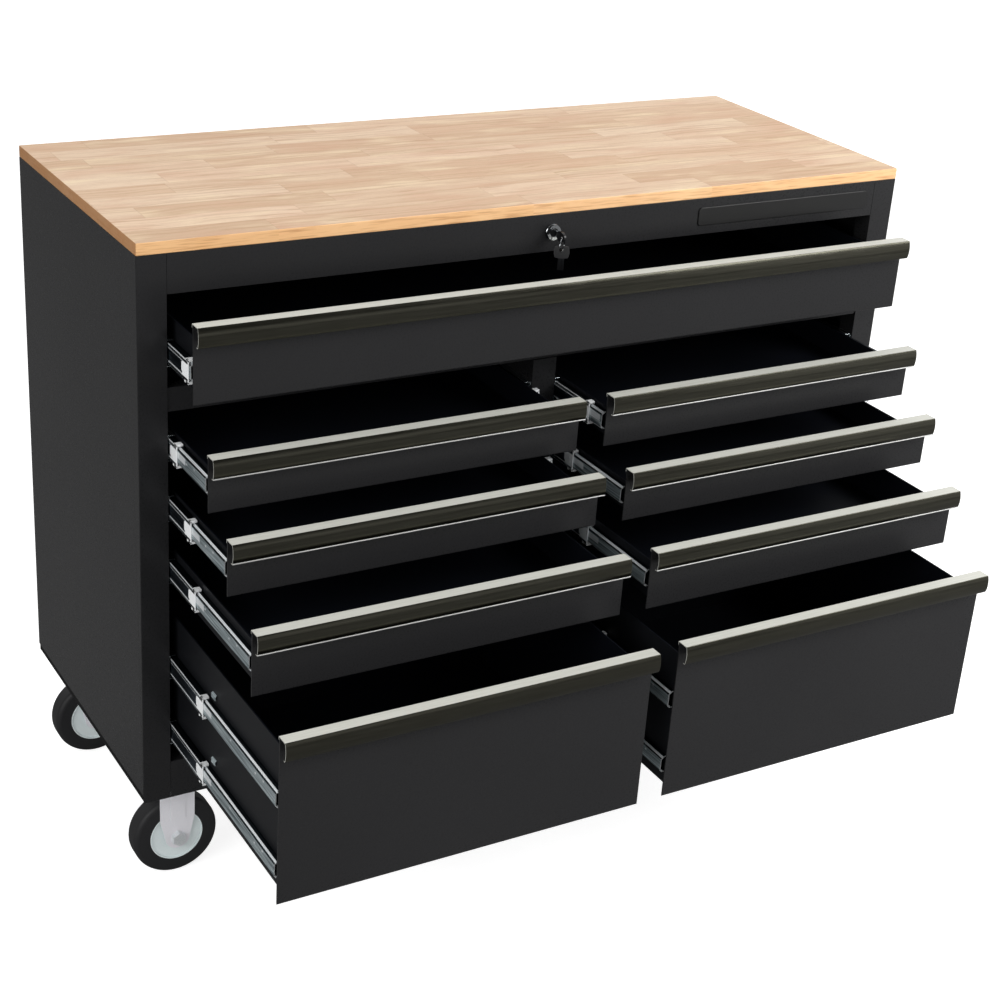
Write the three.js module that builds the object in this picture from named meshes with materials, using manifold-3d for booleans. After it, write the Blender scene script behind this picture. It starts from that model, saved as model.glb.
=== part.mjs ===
// Mobile workbench: a steel drawer cabinet on four casters, under a solid wood worktop.
// Lengths are millimetres. X runs right along the width, Y runs back into the depth, Z runs up.
// Pieces are placed from the middle of the cabinet's width, its front plane and the floor.
// At the end the whole bench moves so that the origin is under the middle of it, with its
// drawers pulled out as they stand.

import * as THREE from 'three';
import { mergeVertices } from 'three/addons/utils/BufferGeometryUtils.js';
import Module from 'manifold-3d';

const wasm = await Module();
wasm.setup();

// Overall sizes
const benchWidth = 1168;
const benchDepth = 457;
const cabinetHeight = 772;
const worktopThickness = 16;
const skirtClearance = 156;

// Cabinet shell
const sheet = 1;
const stileWidth = 38.5;
const topRailHeight = 51.5;
const bottomRailHeight = 57;
const crossRailHeight = 32;
const crossRailRecess = 2;
const dividerWidth = 37;
const railReturn = 20;
const postReturn = 30;
const topFlange = 20;
const footFlange = 12;
const floorRise = 8;
const hemBandHeight = 11;
const hemBandRecess = 1.5;
const seamGap = 0.3;

// Drawer fronts and the gaps around them
const topFrontHeight = 104.5;
const shallowFrontHeight = 76.5;
const mediumFrontHeight = 90;
const openingTopGap = 11;
const crossRailGap = 6.25;
const rowGap = 7;
const openingBottomGap = 1.5;
const frontSideGap = 2.5;
const frontHem = 12;
const frontBend = 2;
const frontReturn = 7;

// Drawer trays
const traySheet = 1;
const trayDepth = 405;
const traySideDrop = 26;
const trayHem = 6;
const trayFloorRise = 11;

// Extruded handles
const handleReach = 16.5;
const handleHeight = 26;
const handleWall = 1.5;
const handleHookDrop = 5;
const handleHookGap = 0.2;
const handleBulge = 1.5;
const handleCorner = 2.5;
const handleFoot = 4;

// Three-member ball-bearing slides
const slideThickness = 12.7;
const slideGauge = 1.2;
const slideLength = 400;
const slideTravel = 400;
const slideSetback = 3;
const slideSeat = 33.3;
const outerHeight = 35;
const outerLip = 10;
const middleLength = 380;
const middleHeight = 28;
const middleInset = 1.8;
const middleLip = 9.2;
const innerHeight = 25;
const innerLip = 8.9;
const runningGap = 0.3;
const raceLength = 150;
const raceWidth = 5;
const bumperLength = 22;
const bumperThickness = 1.9;
const topSlideDrop = 66;
const shallowSlideDrop = 44;
const mediumSlideDrop = 50;
const deepUpperSlideDrop = 95;
const deepLowerSlideDrop = 196;

// Casters
const wheelDiameter = 122;
const wheelWidth = 33;
const wheelShoulder = 9;
const rimDiameter = 77;
const rimRecess = 1.5;
const hubDiameter = 28;
const hubWidth = 36;
const axleDiameter = 12;
const axleClearance = 0.3;
const boltHeadDiameter = 21;
const boltHeadHeight = 7;
const forkPlay = 0.5;
const forkSheet = 3;
const forkWidth = 50;
const forkEndRadius = 18;
const forkShoulder = 30;
const ribWidth = 22;
const ribHeight = 1.2;
const ribMargin = 8;
const casterInsetX = 62;
const casterInsetY = 57.5;
const casterPlateWidth = 95;
const casterPlateDepth = 70;
const casterPlateSheet = 3;
const casterTrail = 38;
const raceDiameter = 54;
const crownSheet = 4;
const crownDrop = 9;
const kingpinDiameter = 10;
const kingpinHeadDiameter = 18;
const kingpinHeadHeight = 4;

// Drawer lock with its key
const lockOffsetX = -5;
const lockDrop = 24.5;
const bezelDiameter = 21;
const bezelReach = 5;
const barrelDiameter = 17.6;
const barrelLength = 20;
const barrelClearance = 0.3;
const lockNutDiameter = 26;
const lockNutThickness = 3;
const plugDiameter = 12;
const plugClearance = 0.2;
const plugReach = 4.5;
const camLength = 32;
const camWidth = 12;
const camSheet = 2;
const keyBladeLength = 12;
const keyBladeHeight = 8;
const keyBladeThickness = 2;
const keyBowLength = 22;
const keyBowHeight = 22;
const keyBowThickness = 4;
const keyHoleDiameter = 6;
const keyHoleInset = 6;

// Cuts run this far past the faces that they open, and parts of one piece sink this far
// into each other where they join
const overrun = 3;

// Corners are rounded to this step, so that faces meant to meet share one plane
const finestStep = 0.001;

// Facet counts
const wheelSides = 32;
const roundSides = 20;
const curveSteps = 4;
const hexSides = 6;

// Places that follow from the sizes above
const halfWidth = benchWidth / 2;
const cabinetBottom = skirtClearance;
const cabinetTop = cabinetBottom + cabinetHeight;
const postFace = halfWidth - stileWidth;
const openingTop = cabinetTop - topRailHeight;
const openingBottom = cabinetBottom + bottomRailHeight;
const floorBottom = cabinetBottom + floorRise;
const floorTop = floorBottom + sheet;
const backFace = benchDepth - sheet;
const insideTop = cabinetTop - sheet;
const dividerFace = dividerWidth / 2;
const frontThickness = traySheet + traySheet;
const axleHeight = wheelDiameter / 2;
const forkInner = hubWidth / 2 + forkPlay;
const forkOuter = forkInner + forkSheet;

// How far each drawer stands open, as a share of its slide's travel
const topPullShare = 0.1975;
const leftPullShares = [0.3175, 0.47, 0.66, 0.87];
const rightPullShares = [0.3225, 0.475, 0.66, 0.865];

// How far each slide's middle member stands out, as a share of its drawer's pull
const topReachShare = 0.85;
const leftReachShares = [0.213, 0.394, 0.333, 0.325];
const rightReachShares = [0.698, 0.326, 0.436, 0.5];

function powderCoat() {
  return new THREE.MeshStandardMaterial({ color: 0x232325, roughness: 0.38, metalness: 0.1 });
}

function rubberwood() {
  return new THREE.MeshStandardMaterial({ color: 0xe2bd92, roughness: 0.5, metalness: 0 });
}

function anodisedAluminium() {
  return new THREE.MeshStandardMaterial({ color: 0x5a5850, roughness: 0.3, metalness: 1 });
}

function zincPlate() {
  return new THREE.MeshStandardMaterial({ color: 0xaeb6ba, roughness: 0.32, metalness: 1 });
}

function paintedFork() {
  return new THREE.MeshStandardMaterial({ color: 0xd3d4da, roughness: 0.4, metalness: 0.4 });
}

function tyreRubber() {
  return new THREE.MeshStandardMaterial({ color: 0x1b1b1c, roughness: 0.6, metalness: 0 });
}

function chrome() {
  return new THREE.MeshStandardMaterial({ color: 0xe6e7e8, roughness: 0.1, metalness: 1 });
}

// A closed three.js geometry, welded into a solid that can be joined and cut
function solidOf(geometry) {
  geometry.deleteAttribute('normal');
  geometry.deleteAttribute('uv');
  const welded = mergeVertices(geometry);
  const index = welded.index.array;
  const kept = [];
  for (let i = 0; i < index.length; i += 3) {
    const corners = [index[i], index[i + 1], index[i + 2]];
    if (new Set(corners).size === 3) kept.push(...corners);
  }
  const snap = (value) => Math.round(value / finestStep) * finestStep;
  const vertProperties = new Float32Array(welded.attributes.position.array).map(snap);
  const triVerts = new Uint32Array(kept);
  return new wasm.Manifold(new wasm.Mesh({ numProp: 3, vertProperties, triVerts }));
}

function joined(...solids) {
  return solids.reduce((whole, next) => whole.add(next));
}

function cut(solid, ...cutters) {
  return cutters.reduce((rest, cutter) => rest.subtract(cutter), solid);
}

// A finished piece. Its flat faces are merged first, so that none of them is left in slivers.
function piece(name, solid, material) {
  const { vertProperties, triVerts } = solid.asOriginal().simplify(finestStep).getMesh();
  const geometry = new THREE.BufferGeometry();
  geometry.setAttribute('position', new THREE.BufferAttribute(new Float32Array(vertProperties), 3));
  geometry.setIndex(new THREE.BufferAttribute(new Uint32Array(triVerts), 1));
  geometry.computeVertexNormals();
  const mesh = new THREE.Mesh(geometry, material);
  mesh.name = name;
  return mesh;
}

// A box between two values on each axis, given in either order
function block([xa, xb], [ya, yb], [za, zb]) {
  const size = [Math.abs(xb - xa), Math.abs(yb - ya), Math.abs(zb - za)];
  const geometry = new THREE.BoxGeometry(...size);
  geometry.translate((xa + xb) / 2, (ya + yb) / 2, (za + zb) / 2);
  return solidOf(geometry);
}

// An outline drawn in (Y, Z), run along X from one value to the other
function alongX(outline, xa, xb) {
  const geometry = new THREE.ExtrudeGeometry(outline, {
    depth: xb - xa,
    bevelEnabled: false,
    curveSegments: curveSteps,
  });
  const turn = new THREE.Matrix4().makeBasis(
    new THREE.Vector3(0, 1, 0),
    new THREE.Vector3(0, 0, 1),
    new THREE.Vector3(1, 0, 0),
  );
  geometry.applyMatrix4(turn);
  geometry.translate(xa, 0, 0);
  return solidOf(geometry);
}

// An outline drawn in (X, Z), run along Y from one value to the other
function alongY(outline, ya, yb) {
  const geometry = new THREE.ExtrudeGeometry(outline, {
    depth: yb - ya,
    bevelEnabled: false,
    curveSegments: curveSteps,
  });
  geometry.rotateX(Math.PI / 2);
  geometry.translate(0, yb, 0);
  return solidOf(geometry);
}

// A round bar along Y, or along Z, between two values
function barY(radius, [x, z], [ya, yb], sides = roundSides) {
  const geometry = new THREE.CylinderGeometry(radius, radius, yb - ya, sides);
  geometry.translate(x, (ya + yb) / 2, z);
  return solidOf(geometry);
}

function barZ(radius, [x, y], [za, zb]) {
  const geometry = new THREE.CylinderGeometry(radius, radius, zb - za, roundSides);
  geometry.rotateX(Math.PI / 2);
  geometry.translate(x, y, (za + zb) / 2);
  return solidOf(geometry);
}

// Slide members. `inwards` is +1 where the drawer lies on the +X side of the post, else -1.
// The outer member is a channel screwed to the post, open towards the drawer.
function outerMember(post, inwards, z) {
  const runY = [slideSetback, slideSetback + slideLength];
  const half = outerHeight / 2;
  const web = block([post, post + inwards * slideGauge], runY, [z - half, z + half]);
  const lip = [post, post + inwards * outerLip];
  const upper = block(lip, runY, [z + half - slideGauge, z + half]);
  const lower = block(lip, runY, [z - half, z - half + slideGauge]);
  return joined(web, upper, lower);
}

// The middle member: a channel that runs inside the outer one on ball races, with a bumper
// at its front end that guides it between the outer member's lips
function middleMember(post, inwards, z, front) {
  const back = front + middleLength;
  const half = middleHeight / 2;
  const guide = outerHeight / 2 - slideGauge - runningGap;
  const webFace = post + inwards * middleInset;
  const lip = [webFace, webFace + inwards * middleLip];
  const web = block([webFace, webFace + inwards * slideGauge], [front, back], [z - half, z + half]);
  const parts = [web];
  for (const side of [-1, 1]) {
    const edge = z + side * half;
    const inner = z + side * (half - slideGauge);
    parts.push(block(lip, [front, back], [inner, edge]));
    const raceStart = webFace + inwards * slideGauge;
    const race = [raceStart, raceStart + inwards * raceWidth];
    parts.push(block(race, [back - raceLength, back], [inner, z + side * guide]));
    parts.push(block(lip, [front, front + bumperLength], [inner, z + side * guide]));
  }
  const bumperFace = [webFace, webFace + inwards * bumperThickness];
  parts.push(block(bumperFace, [front, front + bumperLength], [z - guide, z + guide]));
  return joined(...parts);
}

// The inner member: a channel screwed to the tray's side, open towards the post
function innerMember(tray, inwards, z, front) {
  const runY = [front, front + slideLength];
  const half = innerHeight / 2;
  const web = block([tray, tray - inwards * slideGauge], runY, [z - half, z + half]);
  const lip = [tray, tray - inwards * innerLip];
  const upper = block(lip, runY, [z + half - slideGauge, z + half]);
  const lower = block(lip, runY, [z - half, z - half + slideGauge]);
  return joined(web, upper, lower);
}

// Rows of drawers from the top down: the height of each handle's top, the bottom of the
// front, and the height of each slide
function makeRows() {
  const topRow = openingTop - openingTopGap;
  const secondRow = topRow - topFrontHeight - crossRailGap - crossRailHeight - crossRailGap;
  const thirdRow = secondRow - shallowFrontHeight - rowGap;
  const fourthRow = thirdRow - shallowFrontHeight - rowGap;
  const deepRow = fourthRow - mediumFrontHeight - rowGap;
  return [
    { top: topRow, bottom: topRow - topFrontHeight, slides: [topRow - topSlideDrop] },
    {
      top: secondRow,
      bottom: secondRow - shallowFrontHeight,
      slides: [secondRow - shallowSlideDrop],
    },
    { top: thirdRow, bottom: thirdRow - shallowFrontHeight, slides: [thirdRow - shallowSlideDrop] },
    { top: fourthRow, bottom: fourthRow - mediumFrontHeight, slides: [fourthRow - mediumSlideDrop] },
    {
      top: deepRow,
      bottom: openingBottom + openingBottomGap,
      slides: [deepRow - deepUpperSlideDrop, deepRow - deepLowerSlideDrop],
    },
  ];
}

const rows = makeRows();
const columnRows = rows.slice(1);

// Drawers: their posts, their row, how far they stand open and how far the middle members reach
function makeDrawers() {
  const drawers = [
    {
      name: 'top_drawer',
      row: rows[0],
      posts: [-postFace, postFace],
      pull: topPullShare * slideTravel,
      reachShare: topReachShare,
    },
  ];
  columnRows.forEach((row, i) => {
    drawers.push({
      name: `left_drawer_${i + 1}`,
      row,
      posts: [-postFace, -dividerFace],
      pull: leftPullShares[i] * slideTravel,
      reachShare: leftReachShares[i],
    });
    drawers.push({
      name: `right_drawer_${i + 1}`,
      row,
      posts: [dividerFace, postFace],
      pull: rightPullShares[i] * slideTravel,
      reachShare: rightReachShares[i],
    });
  });
  return drawers;
}

const drawers = makeDrawers();

// Side panel: one bent sheet with its front stile, its rear post and its flanges, a hem band
// stepped in along its foot, and the outer slide members screwed to it. The rear post reaches
// forward under the slides' rear ends. `side` is -1 on the left and +1 on the right.
function sidePanel(side) {
  const outside = side * halfWidth;
  const skin = outside - side * sheet;
  const bandOutside = outside - side * hemBandRecess;
  const bandSkin = bandOutside - side * sheet;
  const bandTop = cabinetBottom + hemBandHeight;
  const face = side * postFace;
  const faceBack = face + side * sheet;
  const postHeight = [floorTop + seamGap, insideTop - seamGap];
  const footHeight = [cabinetBottom, cabinetBottom + sheet];
  const rearEnd = backFace - seamGap;
  const postFront = slideSetback + slideLength - slideSeat;
  const parts = [
    block([outside, skin], [0, benchDepth], [bandTop, cabinetTop]),
    block([outside, bandSkin], [0, rearEnd], [bandTop, bandTop + sheet]),
    block([bandOutside, bandSkin], [0, rearEnd], [cabinetBottom, bandTop + sheet]),
    block([outside, face], [0, sheet], [cabinetBottom, cabinetTop]),
    block([face, faceBack], [0, postReturn], postHeight),
    block([face, faceBack], [postFront, rearEnd], postHeight),
    block([skin, face], [rearEnd - sheet, rearEnd], postHeight),
    block([outside, skin - side * topFlange], [0, rearEnd], [insideTop, cabinetTop]),
    block([bandOutside, bandSkin - side * footFlange], [0, rearEnd], footHeight),
  ];
  for (const row of rows) {
    for (const z of row.slides) parts.push(outerMember(face, -side, z));
  }
  return joined(...parts);
}

function backPanel() {
  const edge = halfWidth - sheet - seamGap;
  const flangeEnd = edge - topFlange;
  return joined(
    block([-edge, edge], [backFace, benchDepth], [cabinetBottom, cabinetTop]),
    block([-flangeEnd, flangeEnd], [backFace - topFlange, benchDepth], [insideTop, cabinetTop]),
  );
}

// Bottom pan: the cabinet's floor, with the bottom rail folded up along its front edge
function bottomPan() {
  const edge = halfWidth - hemBandRecess - sheet - seamGap;
  const railEdge = postFace - seamGap;
  const lip = openingBottom - sheet;
  return joined(
    block([-edge, edge], [sheet + seamGap, backFace - seamGap], [floorBottom, floorTop]),
    block([-railEdge, railEdge], [0, railReturn], [floorBottom, floorTop]),
    block([-railEdge, railEdge], [0, sheet], [cabinetBottom, openingBottom]),
    block([-railEdge, railEdge], [0, railReturn], [lip, openingBottom]),
  );
}

function lockHole() {
  const reach = [-overrun, sheet + overrun];
  return barY(barrelDiameter / 2 + barrelClearance, [lockOffsetX, cabinetTop - lockDrop], reach);
}

function topRail() {
  const railEdge = postFace - seamGap;
  const channel = joined(
    block([-railEdge, railEdge], [0, sheet], [openingTop, cabinetTop]),
    block([-railEdge, railEdge], [0, railReturn], [insideTop, cabinetTop]),
    block([-railEdge, railEdge], [0, railReturn], [openingTop, openingTop + sheet]),
  );
  return cut(channel, lockHole());
}

const crossRailTop = rows[0].bottom - crossRailGap;
const crossRailBottom = crossRailTop - crossRailHeight;

function crossRail() {
  const railEdge = postFace - seamGap;
  const front = crossRailRecess;
  const depth = [front, front + railReturn];
  return joined(
    block([-railEdge, railEdge], [front, front + sheet], [crossRailBottom, crossRailTop]),
    block([-railEdge, railEdge], depth, [crossRailTop - sheet, crossRailTop]),
    block([-railEdge, railEdge], depth, [crossRailBottom, crossRailBottom + sheet]),
  );
}

// Centre divider: a deep channel between the two columns of drawers, standing on the bottom
// rail and carrying the cross rail, with outer slide members on both faces
function centreDivider() {
  const height = [openingBottom + seamGap, crossRailBottom - seamGap];
  const depth = [0, backFace - seamGap];
  const parts = [block([-dividerFace, dividerFace], [0, sheet], height)];
  for (const side of [-1, 1]) {
    parts.push(block([side * dividerFace, side * (dividerFace - sheet)], depth, height));
    for (const row of columnRows) {
      for (const z of row.slides) parts.push(outerMember(side * dividerFace, side, z));
    }
  }
  return joined(...parts);
}

function worktop() {
  const height = [cabinetTop, cabinetTop + worktopThickness];
  return block([-halfWidth, halfWidth], [0, benchDepth], height);
}

// The bent sheet of a drawer front, seen from its end: a hem along its top, and a round bend
// along its foot that turns it back into a short return
function frontOutline(face, top, bottom) {
  const skin = face + traySheet;
  const hem = face + frontThickness;
  const fold = face + frontBend;
  const outline = new THREE.Shape();
  outline.moveTo(face, top);
  outline.lineTo(face, bottom + frontBend);
  outline.quadraticCurveTo(face, bottom, fold, bottom);
  outline.lineTo(face + frontReturn, bottom);
  outline.lineTo(face + frontReturn, bottom + traySheet);
  outline.lineTo(fold, bottom + traySheet);
  outline.quadraticCurveTo(skin, bottom + traySheet, skin, bottom + frontBend);
  outline.lineTo(skin, top - frontHem);
  outline.lineTo(hem, top - frontHem);
  outline.lineTo(hem, top);
  outline.closePath();
  return outline;
}

// Tray: floor, sides and back bent from one sheet, with the front welded on and the inner
// slide members screwed to its sides
function tray(drawer) {
  const { row, pull } = drawer;
  const [leftPost, rightPost] = drawer.posts;
  const face = -pull;
  const back = face + trayDepth;
  const frontTop = row.top - handleWall;
  const sideTop = row.top - traySideDrop;
  const floor = row.bottom + trayFloorRise;
  const frontLeft = leftPost + frontSideGap;
  const frontRight = rightPost - frontSideGap;
  const left = leftPost + slideThickness;
  const right = rightPost - slideThickness;
  const hemHeight = [row.bottom + frontBend, frontTop];
  const start = face + traySheet / 2;
  const hemDepth = [start, face + frontThickness];
  const rim = [sideTop - trayHem, sideTop];
  const parts = [
    alongX(frontOutline(face, frontTop, row.bottom), frontLeft, frontRight),
    block([frontLeft, frontLeft + frontHem], hemDepth, hemHeight),
    block([frontRight, frontRight - frontHem], hemDepth, hemHeight),
    block([left, right], [start, back], [floor, floor + traySheet]),
    block([left, left + traySheet], [start, back], [floor, sideTop]),
    block([right, right - traySheet], [start, back], [floor, sideTop]),
    block([left, right], [back - traySheet, back], [floor, sideTop]),
    block([left, left + frontThickness], [start, back], rim),
    block([right, right - frontThickness], [start, back], rim),
    block([left, right], [back - frontThickness, back], rim),
  ];
  for (const z of row.slides) {
    parts.push(innerMember(left, 1, z, face + slideSetback));
    parts.push(innerMember(right, -1, z, face + slideSetback));
  }
  return joined(...parts);
}

// The handle's section: a flat top that hooks over the drawer front's hem, a slightly bowed
// front wall and a foot turned in along its bottom edge
function handleOutline(face, top) {
  const hookInner = face + frontThickness + handleHookGap;
  const hookOuter = hookInner + handleWall;
  const nose = face - handleReach;
  const bulge = nose - handleBulge;
  const bottom = top - handleHeight;
  const middle = top - handleHeight / 2;
  const inside = nose + handleWall;
  const under = top - handleWall;
  const outline = new THREE.Shape();
  outline.moveTo(hookOuter, top);
  outline.lineTo(nose + handleCorner, top);
  outline.quadraticCurveTo(nose, top, nose, top - handleCorner);
  outline.quadraticCurveTo(bulge, middle, nose, bottom);
  outline.lineTo(nose + handleFoot, bottom);
  outline.lineTo(nose + handleFoot, bottom + handleWall);
  outline.lineTo(inside, bottom + handleWall);
  outline.quadraticCurveTo(bulge + handleWall, middle, inside, under);
  outline.lineTo(hookInner, under);
  outline.lineTo(hookInner, top - handleHookDrop);
  outline.lineTo(hookOuter, top - handleHookDrop);
  outline.closePath();
  return outline;
}

function handle(drawer) {
  const [leftPost, rightPost] = drawer.posts;
  const outline = handleOutline(-drawer.pull, drawer.row.top);
  return alongX(outline, leftPost + frontSideGap, rightPost - frontSideGap);
}

// A drawer's pieces: its tray, its handle and the middle members of its slides
function drawerPieces(drawer) {
  const { name, row } = drawer;
  const [leftPost, rightPost] = drawer.posts;
  const front = slideSetback - drawer.reachShare * drawer.pull;
  const pieces = [
    piece(`${name}_tray`, tray(drawer), powderCoat()),
    piece(`${name}_handle`, handle(drawer), anodisedAluminium()),
  ];
  row.slides.forEach((z, i) => {
    const level = row.slides.length > 1 ? ['_upper', '_lower'][i] : '';
    const onLeft = middleMember(leftPost, 1, z, front);
    const onRight = middleMember(rightPost, -1, z, front);
    pieces.push(piece(`${name}_slide_left${level}`, onLeft, zincPlate()));
    pieces.push(piece(`${name}_slide_right${level}`, onRight, zincPlate()));
  });
  return pieces;
}

// Wheel section from the bore round the tyre and back: hub boss, recessed disc, rounded tread.
// The tread is faceted round the wheel's true circle, and one facet lies flat on the floor.
function wheel(x, y) {
  const bore = axleDiameter / 2 + axleClearance;
  const boss = hubDiameter / 2;
  const rim = rimDiameter / 2;
  const halfFacet = Math.PI / wheelSides;
  const tread = wheelDiameter / 2 / Math.cos(halfFacet);
  const hubEnd = hubWidth / 2;
  const side = wheelWidth / 2;
  const disc = side - rimRecess;
  const outline = new THREE.Path();
  outline.moveTo(bore, -hubEnd);
  outline.lineTo(boss, -hubEnd);
  outline.lineTo(boss, -disc);
  outline.lineTo(rim, -disc);
  outline.lineTo(rim, -side);
  outline.lineTo(tread - wheelShoulder, -side);
  outline.quadraticCurveTo(tread, -side, tread, -side + wheelShoulder);
  outline.lineTo(tread, side - wheelShoulder);
  outline.quadraticCurveTo(tread, side, tread - wheelShoulder, side);
  outline.lineTo(rim, side);
  outline.lineTo(rim, disc);
  outline.lineTo(boss, disc);
  outline.lineTo(boss, hubEnd);
  outline.lineTo(bore, hubEnd);
  outline.lineTo(bore, -hubEnd);
  const geometry = new THREE.LatheGeometry(outline.getPoints(curveSteps), wheelSides);
  geometry.rotateY(halfFacet);
  geometry.translate(x, y, axleHeight);
  return solidOf(geometry);
}

// The axle bolt through a fork's legs, with its hexagon head and nut
function axleBolt(x, y) {
  const head = boltHeadDiameter / 2;
  const outer = forkOuter + ribHeight;
  return joined(
    barY(axleDiameter / 2, [x, axleHeight], [y - outer, y + outer]),
    barY(head, [x, axleHeight], [y - outer - boltHeadHeight, y - forkInner], hexSides),
    barY(head, [x, axleHeight], [y + forkInner, y + outer + boltHeadHeight], hexSides),
  );
}

// A fork leg: wide at the top, with a round end about the axle
function legOutline(topLeft, topRight, top, shoulder, axleX) {
  const outline = new THREE.Shape();
  outline.moveTo(topLeft, top);
  outline.lineTo(topLeft, shoulder);
  outline.lineTo(axleX - forkEndRadius, axleHeight);
  outline.absarc(axleX, axleHeight, forkEndRadius, Math.PI, Math.PI * 2, false);
  outline.lineTo(topRight, shoulder);
  outline.lineTo(topRight, top);
  outline.closePath();
  return outline;
}

const plateTop = floorBottom;
const plateBottom = plateTop - casterPlateSheet;

function casterPlate(x, y) {
  const halfX = casterPlateWidth / 2;
  const halfY = casterPlateDepth / 2;
  return block([x - halfX, x + halfX], [y - halfY, y + halfY], [plateBottom, plateTop]);
}

// Rigid fork: top plate, two ribbed legs and the axle bolt
function rigidFork(x, y) {
  const half = forkWidth / 2;
  const shoulder = axleHeight + forkShoulder;
  const outline = legOutline(x - half, x + half, plateBottom, shoulder, x);
  const crown = [plateBottom - forkSheet, plateBottom];
  const parts = [
    casterPlate(x, y),
    block([x - half, x + half], [y - forkOuter, y + forkOuter], crown),
    axleBolt(x, y),
  ];
  for (const side of [-1, 1]) {
    const faces = [y + side * forkInner, y + side * forkOuter].sort((a, b) => a - b);
    parts.push(alongY(outline, ...faces));
    const ribFaces = [y + side * forkOuter, y + side * (forkOuter + ribHeight)];
    const ribRun = [shoulder, plateBottom - ribMargin];
    parts.push(block([x - ribWidth / 2, x + ribWidth / 2], ribFaces, ribRun));
  }
  return joined(...parts);
}

// Swivel caster: a plate with a ball race and kingpin, and a fork that turns under it
const crownTop = plateBottom - crownDrop;
const crownBottom = crownTop - crownSheet;

function swivelPlate(x, y) {
  const race = barZ(raceDiameter / 2, [x, y], [crownTop + runningGap, plateBottom]);
  const headTop = crownBottom - runningGap;
  const pin = barZ(kingpinDiameter / 2, [x, y], [headTop - kingpinHeadHeight, plateBottom]);
  const head = barZ(kingpinHeadDiameter / 2, [x, y], [headTop - kingpinHeadHeight, headTop]);
  return joined(casterPlate(x, y), race, pin, head);
}

function swivelFork(x, y) {
  const axleX = x - casterTrail;
  const half = forkWidth / 2;
  const outline = legOutline(x - half, x + half, crownTop, crownBottom - forkShoulder, axleX);
  const crown = [crownBottom, crownTop];
  const parts = [
    barZ(raceDiameter / 2, [x, y], crown),
    block([x - half, x + half], [y - forkOuter, y + forkOuter], crown),
    axleBolt(axleX, y),
  ];
  for (const side of [-1, 1]) {
    const faces = [y + side * forkInner, y + side * forkOuter].sort((a, b) => a - b);
    parts.push(alongY(outline, ...faces));
  }
  const bore = kingpinDiameter / 2 + runningGap;
  const hole = barZ(bore, [x, y], [crownBottom - overrun, crownTop + overrun]);
  return cut(joined(...parts), hole);
}

function casterPieces() {
  const pieces = [];
  for (const [place, y] of [['front', casterInsetY], ['rear', benchDepth - casterInsetY]]) {
    const leftX = casterInsetX - halfWidth;
    const rightX = halfWidth - casterInsetX;
    const wheelX = rightX - casterTrail;
    pieces.push(piece(`left_${place}_caster_fork`, rigidFork(leftX, y), paintedFork()));
    pieces.push(piece(`left_${place}_wheel`, wheel(leftX, y), tyreRubber()));
    pieces.push(piece(`right_${place}_swivel_plate`, swivelPlate(rightX, y), paintedFork()));
    pieces.push(piece(`right_${place}_caster_fork`, swivelFork(rightX, y), paintedFork()));
    pieces.push(piece(`right_${place}_wheel`, wheel(wheelX, y), tyreRubber()));
  }
  return pieces;
}

const lockCentre = [lockOffsetX, cabinetTop - lockDrop];

// Lock housing: a bezel on the rail's face, the barrel behind it and the nut that clamps it
function lockHousing() {
  const nutFront = sheet + seamGap;
  const body = joined(
    barY(bezelDiameter / 2, lockCentre, [-bezelReach, 0]),
    barY(barrelDiameter / 2, lockCentre, [-bezelReach, barrelLength]),
    barY(lockNutDiameter / 2, lockCentre, [nutFront, nutFront + lockNutThickness], hexSides),
  );
  const bore = plugDiameter / 2 + plugClearance;
  return cut(body, barY(bore, lockCentre, [-bezelReach - overrun, barrelLength + overrun]));
}

// The key's bow, seen from the side: an oval with the hole that its ring hangs from
function keyBowOutline(front) {
  const [, z] = lockCentre;
  const middle = front - keyBowLength / 2;
  const outline = new THREE.Shape();
  outline.absellipse(middle, z, keyBowLength / 2, keyBowHeight / 2, 0, Math.PI * 2, false);
  const hole = new THREE.Path();
  const holeY = front - keyBowLength + keyHoleInset;
  hole.absarc(holeY, z, keyHoleDiameter / 2, 0, Math.PI * 2, true);
  outline.holes.push(hole);
  return outline;
}

// The plug that the key turns, with the cam on its back end and the key in its slot
function plugWithKey() {
  const [x, z] = lockCentre;
  const camFront = barrelLength + seamGap;
  const camBack = camFront + camSheet;
  const bladeFront = -plugReach - keyBladeLength;
  const halfBlade = keyBladeThickness / 2;
  const halfBow = keyBowThickness / 2;
  const bowFront = bladeFront + keyHoleInset;
  return joined(
    barY(plugDiameter / 2, lockCentre, [-plugReach, camBack]),
    block([x - camWidth / 2, x + camWidth / 2], [camFront, camBack], [z - camLength, z]),
    block(
      [x - halfBlade, x + halfBlade],
      [bladeFront, -plugReach + overrun],
      [z - keyBladeHeight / 2, z + keyBladeHeight / 2],
    ),
    alongX(keyBowOutline(bowFront), x - halfBow, x + halfBow),
  );
}

function cabinetPieces() {
  return [
    piece('worktop', worktop(), rubberwood()),
    piece('left_side_panel', sidePanel(-1), powderCoat()),
    piece('right_side_panel', sidePanel(1), powderCoat()),
    piece('back_panel', backPanel(), powderCoat()),
    piece('bottom_pan', bottomPan(), powderCoat()),
    piece('front_top_rail', topRail(), powderCoat()),
    piece('cross_rail', crossRail(), powderCoat()),
    piece('centre_divider', centreDivider(), powderCoat()),
    piece('lock_housing', lockHousing(), chrome()),
    piece('lock_plug_with_key', plugWithKey(), chrome()),
  ];
}

// The bench, moved so that the origin is under the middle of its whole reach
const pulls = drawers.map((drawer) => drawer.pull);
const frontReach = Math.max(...pulls) + handleReach + handleBulge / 2;
const bench = new THREE.Group();
bench.add(...cabinetPieces(), ...drawers.flatMap(drawerPieces), ...casterPieces());
bench.position.y = (frontReach - benchDepth) / 2;

export default bench;
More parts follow.
